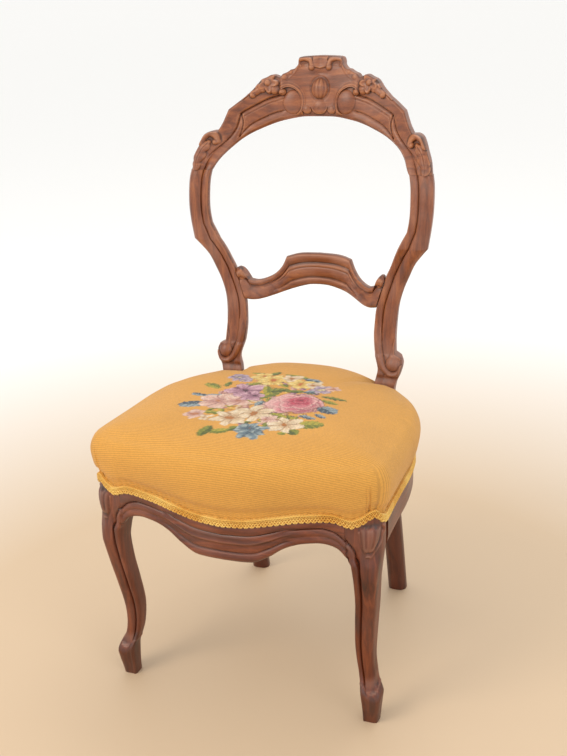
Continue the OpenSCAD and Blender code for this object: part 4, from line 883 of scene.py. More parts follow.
def knee_ring(places, up, inset):
    """A ring round the block at the top of a leg, from its foot, where up is 0, to the hem, where up is 1."""
    face, turning, closing = places <= FACE_END + 0.001, places < 10, places > 13
    t = np.interp(places, np.arange(FACE_END + 1), LEG_TOP)
    start = np.array([LEG_IN_X, plan(np.array(LEG_SHARE))[1] + inset])
    p = lerp(start[None], plan(t) - plan_out(t) * inset, ease(places / 0.6)[:, None])
    z = lerp(RAIL_LOW, hem(t), up)
    corner, corner_z = p[face][-1], z[face][-1]
    side_x, notch = plan(np.array(share_at_y(LEG_BACK_Y)))[0] - inset, LEG_BLOCK * 0.12
    x = lerp(LEG_IN_X, side_x, np.interp(places, [9, 10, 11, 12, 13, 14], [1, 0.93, 0.5, 0.1, 0, 0]))
    y = LEG_BACK_Y - np.interp(places, [12, 13], [0, notch])
    x = np.where(turning, lerp(corner[0], lerp(LEG_IN_X, side_x, 0.93), places - 9), x)
    y = np.where(turning, lerp(corner[1], LEG_BACK_Y, places - 9), y)
    y = np.where(closing, lerp(LEG_BACK_Y - notch, start[1], places - 13), y)
    back_z = lerp(RAIL_LOW, HEM_Z, up)
    back_z = np.where(turning, lerp(corner_z, back_z, np.clip(places - 9, 0, 1)), back_z)
    back_z = np.where(closing, lerp(back_z, z[0], places - 13), back_z)
    return np.stack([np.where(face, p[:, 0], x), np.where(face, p[:, 1], y), np.where(face, z, back_z)], -1)


def leg_body(places):
    """Rings of the leg from the floor to the hem, before its carving."""
    share = np.unique(np.concatenate([np.linspace(0, LEG_END, 105), cusps(LEG)]))
    # The ledge of the foot dips to the middle of its front, and the groove stops above it.
    dip = 0.0175 * (1 + np.cos(np.pi * np.clip((places - 5) / 4.5, -1, 1)))[None] * (
        ease((share - 0.02) / 0.08) * (1 - ease((share - 0.22) / 0.2)))[:, None]
    s = curve(LEG, share[:, None] + dip)
    cut = ease((share - 0.19) / 0.04)[:, None, None]
    ring = lerp(curve(LEG_PLAIN, places)[None], curve(LEG_RING, places)[None], cut)
    low = at(FOOT_X * s[..., 0] + ANKLE_W * s[..., 2] * ring[..., 0],
             FRONT_Y + FRAME_D * s[..., 1] + ANKLE_W * s[..., 3] * ring[..., 1],
             (share * RAIL_LOW)[:, None] + 0 * places[None])
    top = np.array([knee_ring(places, up, 0) for up in np.linspace(0, 1, 22)])
    gap = RAIL_LOW * (1 - LEG_END)
    leave = (low[-1] - low[-2]) * gap / ((share[-1] - share[-2]) * RAIL_LOW)
    arrive = (top[1] - top[0]) * gap / (top[1] - top[0])[:, 2].mean()
    blend = [between(low[-1], top[0], leave, arrive, u) for u in np.linspace(0, 1, 8)[1:-1]]
    body = np.concatenate([low, blend, top])
    # The outer side runs smoothly from the knee block into the leg.
    z = body[..., 2]
    bent = (ease((z - 252) / 14) * ease((316 - z) / 14) * ease((places[None] - 3.2) / 1.2))[..., None]
    for _ in range(60):
        body[1:-1] += (0.5 * (body[:-2] + body[2:]) - body[1:-1]) * bent[1:-1] * [1, 1, 0]
    return body


# The knee's scrolled leaves, in millimetres across the leg's face and up from the floor
KNEE_SCROLLS = [
    ([(23, 331), (24, 318), (26.5, 306), (30, 297)], 2.2, 1.4, 1.8),
    ([(47, 337), (48.5, 330), (46.5, 324)], 3.4, 2.4, 3.6),
    ([(45, 328), (43, 314), (38.5, 303), (33.5, 290)], 2.2, 1.4, 1.8)]


def knee_carving(across, z):
    """Height of the knee's carving: a bell flower down the front, between scrolled leaves."""
    share = np.clip((z - 299) / 36, 0, 1)
    q = (across - lerp(31.5, 33, share)) / lerp(3.6, 9.4, np.sqrt(share))
    bell = dome(1 - q ** 2, 8.4) * np.clip(1 - ((z - 318) / 20) ** 2, 0, 1) ** 0.5
    bell -= 1.3 * np.exp(-((np.abs(q) - 0.4) / 0.13) ** 2) * ease((bell - 1.5) / 2) * ease((z - 304) / 6)
    stem = 1.6 * np.exp(-((across - 32) / 3) ** 2 - ((z - 280) / 12) ** 2)
    return np.maximum.reduce([bell, stem, boss(across, z, (31.8, 293.5), 3.2, 3.4, 2.8)]
                             + [scroll(across, z, *row) for row in KNEE_SCROLLS])


def leg_grid():
    """A front leg in rings from the floor to the top of its block."""
    places = np.concatenate([np.arange(0, 10, 1 / 7), np.arange(10, RING_END + 0.01, 0.25)])
    body = leg_body(places)
    z = body[..., 2]
    column = np.broadcast_to(places[None], z.shape)
    across = np.interp(column, [0, FACE_END, RING_END], [0, 56, 90])
    face = column < FACE_END
    relief = knee_carving(across, z) * ease(9.6 - column)
    # The rail's upper groove turns down into the leg in one sweep.
    joint_low = lerp(APRON_Z, ARCH_Z, 0.5)
    joint_hem = float(hem(np.array(LEG_SHARE)))
    rail_share = np.clip((joint_hem - z) / (joint_hem - joint_low), 0, 1)
    carried = MOULD * 0.85 * end_mould(rail_share, 1 + 0 * z) * (1 - ease(across / 9)) * ease((z - 280) / 10)
    start = lerp(joint_hem, joint_low, 0.5)
    sweep = along_line(across, z, [(-6, start + 1), (0, start), (7, start - 3.5), (13, start - 9.5),
                                   (17.5, start - 18), (18.7, start - 28), (18.7, start - 56)], 30)[0]
    groove = (4.2 * np.exp(-(sweep / 1.7)) + 0.8 * np.exp(-(sweep / 5) ** 2)) * ease((z - 268) / 18) * face
    relief -= np.maximum(carried, groove)
    # A bead runs along the ledge of the foot.
    ledge = 51 + 13 * (1 - np.cos(np.pi * np.clip((column - 5) / 4.5, -1, 1))) / 2
    relief += dome(1 - ((z - ledge) / 2.2) ** 2, 0.8)
    body = body + outward(body) * relief[..., None]
    body[:, -1] = body[:, 0]
    block = knee_ring(places, 1, REBATE)
    points = np.concatenate([body, [block, block * [1, 1, 0] + [0, 0, RAIL_TOP]]])
    # Grime and painted shade lie in the groove and above the bell flower, just under the seat's edge; the foot is
    # darker below its ledge, and above the ledge the wax is worn grey, with a painted highlight.
    dirt_and_shade = hollows(-relief)
    dirt_and_shade += 0.9 * np.interp(column, [2, 2.6, GROOVE, 3.4, 4], [0, 0.1, 1, 0.1, 0]) * ease((290 - z) / 25) * ease(
        (z - 50) / 16)
    dirt_and_shade += 0.5 * np.exp(-((across - 32) / 14) ** 2 - ((z - 340) / 5) ** 2) + 0.55 * ease((ledge - z) / 6)
    dirt_and_shade -= 0.32 * np.exp(-((z - ledge - 13) / 9) ** 2) * face * ease((column - 3.2) / 0.6)
    return points, np.concatenate([dirt_and_shade, np.zeros((2, len(places)))])


both_sides("front_leg", *leg_grid(), LEG_WALNUT, "dark_walnut", "front_leg")

# Pieces whose solids have their full shape keep it, and get the finish of the wood or metal that they are.
corner_blocks = [f"{end}_corner_block_{side}" for end in ("front", "back") for side in ("left", "right")]
dowels = [f"{joint}_dowels" for joint in ("crest", "cross_rail", "front_rail", "side_rail", "back_rail")]
for finish, nodes in ((RAIL_WALNUT, ["back_seat_rail"]), (STEEL, ["corner_block_screws"]),
                      (BEECH, corner_blocks + dowels)):
    for node in nodes:
        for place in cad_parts[node].material_slots:
            place.link, place.material = "OBJECT", finish


# The seat: outline of the cover with its swell, lower edge and upper edge at each point

SEAT_MIDDLE = np.array([0, lerp(FRONT_Y, BACK_RAIL_Y, 0.5)])
NOTCH_IN = POST_X - POST_W / 2 - 1
NOTCH_Y = POST_Y - 1
NOTCH_SHARE = float(share_at_y(NOTCH_Y))
NOTCH_OUT = plan(np.array(NOTCH_SHARE))[0] - REBATE * 0.75
COVER_ROWS = [
    (0, (1, -1, 0, 1, 0)), (1, (1, -1, 0.16, 1, 0)), (2, (1, 0.4, 0.3, 1, 0.1)), (3, (1, 0.9, 0.52, 1, 0.2)),
    (4, (1, 1, 0.74, 1, 0.4)), (5, (0.99, 0.7, 0.93, 0.8, 0.8)), (6, (0.955, 0.1, 1.17, 0.3, 1)),
    (7, (0.87, 0, 1.53, 0, 1)), (8, (0.67, 0, 1.84, 0, 1)), (9, (0.35, 0, 1.97, 0, 1)), (10, (0.001, 0, 2, 0, 1))]


def cover_outline(front_steps=84, side_steps=56, back_steps=26):
    """Rows of x, y, way out x, way out y, swell, lower edge, upper edge, share of the way, all round the seat."""
    t = np.unique(np.concatenate([np.linspace(0, 0.47, front_steps), np.linspace(0.372, 0.4, front_steps // 4),
                                  np.linspace(0.47, NOTCH_SHARE, side_steps)]))
    p, n = plan(t), plan_out(t)
    lifted = EDGE_Z - 2 * ease((t - 0.86) / 0.1)
    side = np.stack([p[:, 0], p[:, 1], n[:, 0], n[:, 1], curve(SWELL, t), hem(t) + HEM_GAP, lifted, t], -1)
    post_hem = RAIL_TOP + HEM_GAP
    corners = np.array([[NOTCH_OUT, NOTCH_Y], [NOTCH_IN, NOTCH_Y], [NOTCH_IN, BACK_RAIL_Y - REBATE * 0.6]])
    notch = np.concatenate([lerp(corners[0], corners[1], np.linspace(0, 1, 10)[:-1, None]),
                            lerp(corners[1], corners[2], np.linspace(0, 1, 10)[:, None])])
    zeros = np.zeros((len(notch), 1))
    lift = np.concatenate([np.linspace(-2, 1, 9), lerp(1, -4, ease(np.linspace(0, 1, 10)))])[:, None]
    notch = np.concatenate([notch, zeros, zeros, zeros, zeros + post_hem, EDGE_Z + lift, zeros + 1], 1)
    share = np.linspace(1, 0, back_steps)
    back = np.stack([NOTCH_IN * share, BACK_RAIL_Y + 0 * share, 0 * share, 1 + 0 * share, 0.6 - share * 0.5,
                     HEM_Z + HEM_GAP + 0 * share, EDGE_Z - 4 + (BACK_LIFT + 4) * (1 - share ** 2.8), 2 - share], -1)
    half = np.concatenate([side, notch, back])
    other = half[-2:0:-1] * [-1, 1, -1, 1, 1, 1, 1, 1]
    return np.concatenate([half, other, half[:1]])


def seat_skin(rows, inset, outline):
    """Points of the cover, or of a skin inside it, for rows of COVER_ROWS."""
    r = curve(COVER_ROWS, rows)
    share, bulge, height, pull, down = (r[:, k, None] for k in range(5))
    c = outline[None]
    swell = np.where(c[..., 4] == 0, 0, np.where(bulge < 0, TUCK * bulge, BULGE * bulge * c[..., 4]))
    base = np.stack([c[..., 0] + c[..., 2] * swell, c[..., 1] + c[..., 3] * swell], -1)
    base = SEAT_MIDDLE + (base - SEAT_MIDDLE) * share[..., None]
    away = SEAT_MIDDLE - base
    away /= np.maximum(np.linalg.norm(away, axis=-1, keepdims=True), 1e-6)
    base = base + away * (inset * pull)[..., None]
    z = lerp(c[..., 5], c[..., 6], np.minimum(height, 1)) + (CROWN_Z - c[..., 6]) * np.maximum(height - 1, 0)
    return at(base[..., 0], base[..., 1], z - inset * down)


def wavy(x, y, scale, seed):
    """Slow, smooth unevenness from a few crossed waves, the same every time."""
    rng = np.random.default_rng(seed)
    total = 0 * x
    for _ in range(7):
        a, phase, k = rng.uniform(0, 2 * np.pi), rng.uniform(0, 2 * np.pi), rng.uniform(0.6, 1.6) / scale
        total = total + np.sin((x * np.cos(a) + y * np.sin(a)) * k + phase)
    return total / 7


def dye(hex_value):
    return np.array(tone(hex_value)[:3])


def mixed(base, colour, amount):
    return lerp(base, dye(colour), np.clip(amount, 0, 1)[:, None])


def petal_flower(base, x, y, place, radius, petals, tones, turn, core):
    """Paints a flower: cupped petals with a pale edge and a dark throat, creases between them, a dotted centre."""
    light, middle, dark, centre = tones
    wobble = 2.4 * np.sin(x / 6 + y / 9 + place[0]) + 1.8 * np.sin(y / 4 - x / 8)
    dx, dy = x - place[0] + wobble, y - place[1] + wobble * 0.6
    q, a = np.hypot(dx, dy) / radius, np.arctan2(dy, dx) + turn
    wave = np.cos(petals * a)
    edge = 0.86 + 0.14 * wave
    inside = q < edge
    fall = q / edge
    base = mixed(base, middle, inside * 1.0)
    base = mixed(base, light, inside * np.clip(1.9 * fall - 0.55, 0, 1) * (0.55 + 0.45 * np.sin(11 * a + 3 * q)))
    base = mixed(base, dark, inside * np.exp(-((wave + 1) / 0.16) ** 2) * (fall > 0.3) * 0.85)
    base = mixed(base, dark, inside * np.clip(0.62 - fall, 0, 1) * 1.3)
    base = mixed(base, dark, inside * (fall > 0.93) * (np.sin(a * 3 + 1) > 0.1) * 0.55)
    base = mixed(base, centre, (q < core) * 1.0)
    return mixed(base, dark, (q < core) * (np.sin(dx * 2.1) * np.sin(dy * 2.1) > 0.25) * 0.8)


def rose(base, x, y, place, radius, tones):
    """Paints a full rose: rings of petals that overlap towards a tight, dark heart."""
    pale, light, middle, dark = tones
    x, y = x + 1.3 * np.sin(y / 4.1), y + 1.3 * np.sin(x / 4.7)
    # Each ring: how far out its petals stand, their size and number, where the first one lies, how far the
    # ring's middle shifts, and the colours of their edge, body and shade.
    rings = [(0.62, 0.44, 6, 0.2, (0, 0), pale, light, middle),
             (0.5, 0.42, 5, 1.0, (0.02, 0.05), pale, light, middle),
             (0.34, 0.38, 5, 0.4, (0.06, 0.14), pale, light, dark),
             (0.22, 0.28, 4, 1.2, (0.1, 0.24), light, middle, dark),
             (0.11, 0.18, 3, 0.2, (0.12, 0.3), light, middle, dark)]
    for far, size, count, start, (ox, oy), edge, body, shade in rings:
        for k in range(count):
            a = start + 2 * math.pi * k / count
            dx = x - place[0] - radius * (ox + far * math.cos(a))
            dy = y - place[1] - radius * (oy + far * 0.92 * math.sin(a))
            q = np.hypot(dx, dy) / (radius * size)
            away = (dx * math.cos(a) + dy * math.sin(a)) / (radius * size)
            inside = q < 1
            base = mixed(base, body, inside * 1.0)
            base = mixed(base, edge, inside * (away > 0.1) * np.clip((q - 0.62) * 3.4, 0, 1))
            base = mixed(base, shade, inside * np.clip(0.1 - away, 0, 1) * 1.2)
            base = mixed(base, dark, (np.abs(q - 1.02) < 0.06) * (away > -0.2) * 0.5)
    dx, dy = (x - place[0]) / radius, (y - place[1]) / radius
    inside = np.hypot(dx, dy) < 1.02
    base = mixed(base, pale, inside * np.clip(-dx - 0.15, 0, 1) * 0.9)
    return mixed(base, dark, inside * np.clip(dx * 0.7 - dy * 0.8 - 0.35, 0, 1) * 0.8)


def leaf_stitches(base, x, y, place, half_long, half_wide, turn, light, dark):
    """Paints a leaf: a pale side and a dark side of its rib, with a toothed edge."""
    c, sn = math.cos(math.radians(turn)), math.sin(math.radians(turn))
    u = ((x - place[0]) * c + (y - place[1]) * sn) / half_long
    v = ((y - place[1]) * c - (x - place[0]) * sn) / half_wide
    tooth = 0.14 * np.abs(np.sin(9 * u + 2 * np.sign(v)))
    inside = (np.abs(u) < 1) & (np.abs(v) < np.sqrt(np.clip(1 - u * u, 0, 1)) - tooth)
    base = mixed(base, light, inside * (v > 0))
    base = mixed(base, dark, inside * (v <= 0))
    base = mixed(base, dark, inside * (np.sin(13 * u - 5 * np.abs(v)) > 0.62) * (v > 0) * 0.6)
    return mixed(base, light, inside * (np.sin(13 * u - 5 * np.abs(v)) > 0.72) * (v < -0.1) * 0.5)


GROUND = "#dc9f45"
CREAM = ("#f3e0c0", "#e8cba2", "#a9794e", "#bb742f")
SHELL = ("#eed0bb", "#dfae9a", "#a96e68", "#c2804e")
MAUVE = ("#dfb6bc", "#c08c9c", "#74475a", "#54343c")
YELLOW = ("#f4de92", "#eac262", "#c0832f", "#cb6733")
SMOKE = ("#b4bdb6", "#6a7f8a", "#33434f", "#a8765c")
LILAC = ("#d8c2c6", "#ad94a6", "#715e78", "#e0cc9a")
ROSE = ("#eebcb2", "#dc8289", "#c44a5c", "#862a3c")
OLIVE = ("#b5a83c", "#727a2c")
MOSS = ("#8f9238", "#555f2a")
SLATE = ("#9aa7a8", "#46545e")
# Leaves of the bouquet: place on the seat, half the length and width, turn in degrees, and colours.
LEAVES = [
    ((-47, -187), 17, 10, 80, MOSS), ((-25, -184), 15, 9, 20, OLIVE), ((-9, -172), 11, 7, 60, MOSS),
    ((97, -131), 22, 15, 15, OLIVE), ((81, -159), 12, 10, -40, MOSS), ((68, -168), 8, 5, 10, OLIVE),
    ((97, -20), 22, 6, -8, MOSS), ((96, -38), 17, 6, -20, OLIVE), ((-7, -34), 24, 12, 60, OLIVE),
    ((0, -12), 19, 10, 30, MOSS), ((-18, -14), 15, 8, 110, OLIVE), ((-112, -16), 20, 9, 150, OLIVE),
    ((-90, -5), 12, 6, 95, MOSS), ((8, 56), 24, 7, -12, OLIVE), ((-33, 60), 13, 7, 60, MOSS),
    ((-62, 58), 14, 5, 165, OLIVE), ((38, 47), 17, 7, -5, SLATE), ((-60, -125), 18, 7, 10, OLIVE),
    ((-92, -60), 18, 8, 10, SLATE), ((-118, -58), 15, 7, 165, SLATE), ((-110, -101), 22, 15, 200, SLATE),
    ((104, -70), 19, 14, -30, SLATE), ((84, -106), 15, 6, -15, SLATE), ((101, -96), 12, 6, -30, SLATE),
    ((54, -2), 14, 8, 30, SLATE), ((-46, 6), 14, 7, 40, OLIVE), ((28, -8), 15, 7, 15, MOSS),
    ((40, -112), 16, 8, -20, OLIVE), ((-6, -72), 12, 9, 80, SLATE)]
# Flowers behind the rose and before it: place, radius, number of petals, colours, turn, and size of the centre.
FLOWERS_BEHIND = [
    ((-48, 44), 20, 5, YELLOW, 0.2, 0.24), ((-24, 28), 26, 6, YELLOW, 0.7, 0.26), ((2, 44), 19, 5, CREAM, 0.3, 0.2),
    ((25, 25), 23, 5, YELLOW, 0.5, 0.22), ((48, 28), 15, 4, CREAM, 0.2, 0.2), ((-87, 32), 20, 5, LILAC, 0.3, 0.2),
    ((-70, 20), 12, 4, LILAC, 0.8, 0.2), ((66, 12), 19, 6, LILAC, 0.8, 0.26), ((82, 20), 11, 4, SHELL, 0.3, 0.2),
    ((-52, -28), 34, 5, MAUVE, 0.4, 0.18), ((-74, -80), 35, 5, SHELL, 1.1, 0.12),
    ((-44, -72), 24, 4, SHELL, 0.4, 0.12), ((-30, -46), 22, 5, MAUVE, 0.9, 0.16),
    ((-86, -138), 18, 5, SHELL, 0.3, 0.24), ((-66, -146), 11, 4, CREAM, 0.6, 0.2), ((14, -84), 26, 5, SHELL, 0.5, 0.1)]
FLOWERS_BEFORE = [
    ((0, -112), 32, 6, CREAM, 0.3, 0.26), ((62, -140), 29, 6, CREAM, 0.1, 0.2),
    ((-28, -136), 32, 6, CREAM, 0.5, 0.18), ((20, -172), 28, 7, SMOKE, 0.2, 0.16),
    ((14, -166), 17, 5, SMOKE, 0.8, 0.12), ((30, -128), 14, 4, SHELL, 0.4, 0.16)]
# Small buds and leaves fill the middle of the bouquet, so that little of the ground shows between flowers.
BUD_TONES = (OLIVE, MOSS, SLATE, CREAM[1:3], SHELL[1:3], MAUVE[1:3], YELLOW[1:3])
BUDS, BOUQUET_MIDDLE, BOUQUET_REACH = 190, (0, -66), (88, 96)


def bouquet(x, y):
    """Colours of the needlepoint: a traditional mixed bouquet on a golden ground."""
    base = np.tile(dye(GROUND), (len(x), 1))
    rng = np.random.default_rng(11)
    for _ in range(BUDS):
        a, far = rng.uniform(0, 2 * np.pi), np.sqrt(rng.uniform(0, 1))
        place = (BOUQUET_MIDDLE[0] + BOUQUET_REACH[0] * far * math.cos(a),
                 BOUQUET_MIDDLE[1] + BOUQUET_REACH[1] * far * math.sin(a))
        tones = BUD_TONES[rng.integers(len(BUD_TONES))]
        base = leaf_stitches(base, x, y, place, rng.uniform(6, 13), rng.uniform(4, 7), rng.uniform(0, 180), *tones)
    for place, long, wide, turn, tones in LEAVES:
        base = leaf_stitches(base, x, y, place, long, wide, turn, *tones)
    for flower in FLOWERS_BEHIND:
        base = petal_flower(base, x, y, *flower)
    base = rose(base, x, y, (46, -58), 43, ROSE)
    for flower in FLOWERS_BEFORE:
        base = petal_flower(base, x, y, *flower)
    # The flowers' stitches are uneven in tone, and those of the ground are plain.
    rough = np.random.default_rng(3).uniform(0.74, 1.1, len(x))[:, None]
    flowered = (np.abs(base - dye(GROUND)).max(axis=1) > 1e-4)[:, None]
    return np.where(flowered, base * rough, base)


PAINT_STEP, BOUQUET_DROP = 2.0, 26


def cover_piece():
    """The cover, from its lower edge up over the rim to the middle of the seat, with its flowers."""
    outline = cover_outline()
    rows = np.concatenate([np.linspace(0, 6, 21, endpoint=False), np.linspace(6, 7.3, 5, endpoint=False),
                           np.linspace(7.3, 8, 13, endpoint=False), np.linspace(8, 9, 41, endpoint=False),
                           np.linspace(9, 10, 41)])
    points = seat_skin(rows, 0, outline)
    span = outline[:, 7]
    # Pleats where the cloth is folded round the front corners, and the pull of the nails below.
    up = rows[:, None]
    fold = np.exp(-((span - 0.388) / 0.002) ** 2) + 0.5 * np.exp(-((span - 0.3795) / 0.0016) ** 2)
    depth = 2.0 * fold[None] * ease(up / 0.6) * ease((4.8 - up) / 2)
    puckers = 0.7 * np.sin(span[None] * 330) * ease((3.0 - up) / 2.2) * ease(up / 0.8)
    soft = wavy(points[..., 0], points[..., 1], 26, 5) * 1.6 * ease((up - 3) / 3)
    points = points - outward(points) * (depth + puckers * (span[None] < 1))[..., None]
    points[..., 2] += soft
    points[-1] = points[-1].mean(0)
    # The weave lies straight over the top, and hangs straight down from its rim to the front, sides and back.
    steps = np.linalg.norm(np.diff(points, axis=0), axis=2)
    length = np.concatenate([np.cumsum(steps[::-1], axis=0)[::-1], 0 * steps[:1]])
    rim = int(np.searchsorted(rows, 6))
    down = np.clip(length - length[rim], 0, None)
    fair = outline[:, :2] - SEAT_MIDDLE
    front_way = np.abs(fair[:, 0]) < np.abs(plan(np.array(0.405))[0])
    hang = np.where(front_way[:, None], np.sign(fair[:, 1:]) * [0, 1], np.sign(fair[:, :1]) * [1, 0])
    flat = points[..., :2].copy()
    flat[:rim] = points[rim, :, :2]
    flat += hang[None] * down[..., None]
    piece = grid_piece("needlepoint_cover", points, flat_uv=flat, capped=False)
    mesh = piece.data
    spots = np.empty(len(mesh.vertices) * 3)
    mesh.vertices.foreach_get("co", spots)
    spots = spots.reshape(-1, 3) / MM
    # The flowers are painted in squares, like stitches, and the sides of the seat are plain.
    snapped = np.round(spots[:, :2] / PAINT_STEP) * PAINT_STEP
    colours = bouquet(snapped[:, 0], snapped[:, 1])
    colours[spots[:, 2] < CROWN_Z - BOUQUET_DROP] = dye(GROUND)
    dyed = mesh.attributes.new("wool", "FLOAT_COLOR", "POINT")
    dyed.data.foreach_set("color", np.concatenate([colours, np.ones((len(colours), 1))], 1).ravel())
    return piece


def dome_ring(shares, inset, lift, outline):
    out = outline[:, :2] - SEAT_MIDDLE
    far = np.linalg.norm(out, axis=1, keepdims=True)
    p = SEAT_MIDDLE + (out * (1 - inset / far))[None] * shares[:, None, None]
    z = HESSIAN_RIM_Z + HESSIAN_RISE * (1 - shares ** 6) + lift
    return at(p[..., 0], p[..., 1], z[:, None] + 0 * p[..., 0])


def stuffing_piece():
    """The hair pad, between the hessian and the cover."""
    outline = cover_outline(40, 36, 14)
    gap = COVER_T + 3 * SOFT_GAP
    over = seat_skin(np.linspace(3.2, 10, 26), gap, outline)
    under = dome_ring(np.linspace(0.001, 1, 12), RAIL_T * 0.4, HESSIAN_T + SOFT_GAP, outline)
    points = np.concatenate([under, over])
    points[0], points[-1] = points[0].mean(0), points[-1].mean(0)
    return grid_piece("hair_stuffing", points, flat_uv=points[..., :2])


stuffing = placed(stuffing_piece(), HAIR, "stuffing", "stuffing_pad")


def thick(piece, thickness, offset=-1.0):
    """Gives a sheet its thickness."""
    wall = piece.modifiers.new("thickness", "SOLIDIFY")
    wall.thickness = thickness * MM
    wall.offset = offset
    return piece


def hessian_piece():
    outline = cover_outline(60, 50, 20)
    points = dome_ring(np.linspace(1, 0.001, 20), RAIL_T * 0.5, HESSIAN_T, outline)
    points[-1] = points[-1].mean(0)
    return grid_piece("hessian_over_springs", points, flat_uv=points[..., :2], capped=False)


cover = placed(thick(cover_piece(), COVER_T), WOOL, "needlepoint", "seat_cover")
hessian = placed(thick(hessian_piece(), HESSIAN_T), HESSIAN, "hessian", "spring_hessian")


# Webbing, woven over and under

LONG_X = plan(np.array(0.1518))[0]
CROSS_YS = plan(np.array([0.5536, 0.6875, 0.8214]))[:, 1]
WEAVE = WEB_T / 2 + SOFT_GAP / 2
WEB_MID = WEB_Z - WEAVE - WEB_T / 2 - SOFT_GAP
BACK_RAIL_IN = BACK_RAIL_Y - RAIL_T - REBATE * 0.4


def strip_points(start, end, crossings, first, centre, lengthwise):
    """One strip: it lies flat under the rails, and dips and rises between its crossings."""
    along = np.linspace(start, end, 90)
    rows = [(start, WEAVE)]
    for i, c in enumerate(crossings):
        level = WEAVE if (i + first) % 2 == 0 else -WEAVE
        rows += [(c - WEB_W * 0.52, level, CUSP), (c + WEB_W * 0.52, level, CUSP)]
    rows.append((end, WEAVE))
    z = WEB_MID + np.interp(along, [r[0] for r in rows], [r[1] for r in rows])
    across = np.linspace(-WEB_W / 2, WEB_W / 2, 9)[None]
    a, b, up = along[:, None] + 0 * across, centre + across + 0 * along[:, None], z[:, None] + 0 * across
    return at(b, a, up) if lengthwise else at(a, b, up)


long_strips, cross_strips = [], []
for i in (-1, 0, 1):
    start = plan(np.array(share_at_x(abs(i) * LONG_X + WEB_W / 2)))[1] + RAIL_T * 0.66
    long_strips.append(strip_points(start, BACK_RAIL_IN + RAIL_T * 0.37, CROSS_YS, abs(i), i * LONG_X, True))
for i in range(3):
    reach = plan(np.array(share_at_y(CROSS_YS[i] + WEB_W / 2)))[0] - RAIL_T * 0.7
    cross_strips.append(strip_points(-reach, reach, [-LONG_X, 0, LONG_X], i, CROSS_YS[i], False))
for way, strips in (("lengthwise", long_strips), ("crosswise", cross_strips)):
    piece = thick(gathered(f"{way}_webbing", strips, cloth=True), WEB_T, 0.0)
    placed(piece, JUTE_WEB, "webbing", f"webbing_{way}")


TACK_PLACES, TACK_INSETS = (-20, -10, 0, 10, 20), (9, 5)


def tack_heads():
    """Cut tacks through the ends of the webbing: five domed heads to an end, in two rows."""
    bm = bmesh.new()
    under = WEB_MID + WEAVE - WEB_T / 2

    def head(x, y):
        made = bmesh.ops.create_cone(bm, cap_ends=True, segments=8, radius1=1.4 * MM, radius2=3.1 * MM, depth=1.1 * MM,
                                     matrix=Matrix.Translation(Vector((x, y, under - 0.6)) * MM))
        edges = {e for v in made["verts"] for e in v.link_edges}
        bmesh.ops.bevel(bm, geom=[e for e in edges if e.calc_length() < 1.5 * MM], offset=0.2 * MM, segments=1,
                        profile=0.5, material=-1, affect="EDGES")

    for strips, lengthwise in ((long_strips, True), (cross_strips, False)):
        for points in strips:
            for end, back in ((0, 1), (-1, -1)):
                edge = points[end].mean(0)
                for k, across in enumerate(TACK_PLACES):
                    inset = back * TACK_INSETS[k % 2]
                    head(edge[0] + (across if lengthwise else inset), edge[1] + (inset if lengthwise else across))
    bmesh.ops.recalc_face_normals(bm, faces=bm.faces)
    return placed(finished("webbing_tacks", bm), STEEL, "steel")


tack_heads()


# Springs: drawn wire, wound in at the waist

def spring_points(x0, y0):
    """One spring's wire in rings, from the webbing to the hessian."""
    low = WEB_MID + 0.4 * WEAVE + WEB_T / 2 + SOFT_GAP
    height = HESSIAN_RIM_Z + HESSIAN_RISE * 0.9 - low - WIRE_D
    u = np.linspace(0, 1, CURLS * 30 + 1)
    r = lerp(WAIST_D, SPRING_D, (2 * u - 1) ** 2) / 2 - WIRE_D / 2
    turn = 2 * np.pi * CURLS * u
    line = np.stack([r * np.cos(turn), r * np.sin(turn),
                     low + WIRE_D / 2 + height * (u - 0.07 * np.sin(2 * np.pi * u))], -1)
    ahead = np.gradient(line, axis=0)
    ahead /= np.linalg.norm(ahead, axis=1, keepdims=True)
    out = line * [1, 1, 0]
    side = np.cross(ahead, out)
    side /= np.linalg.norm(side, axis=1, keepdims=True)
    up = np.cross(side, ahead)
    a = np.linspace(0, 2 * np.pi, 9)[None, :, None]
    tube = line[:, None] + WIRE_D / 2 * (np.cos(a) * up[:, None] + np.sin(a) * side[:, None])
    return tube + [x0, y0, 0]


coils = [spring_points(sx * LONG_X, CROSS_YS[sy]) for sx, sy in [(-1, 0), (1, 0), (0, 1), (-1, 2), (1, 2)]]
placed(gathered("waisted_springs", coils, 60), STEEL, "steel", "seat_springs")


# Gimp braid: two raised cords that loop over a flat band, with a scalloped lower edge

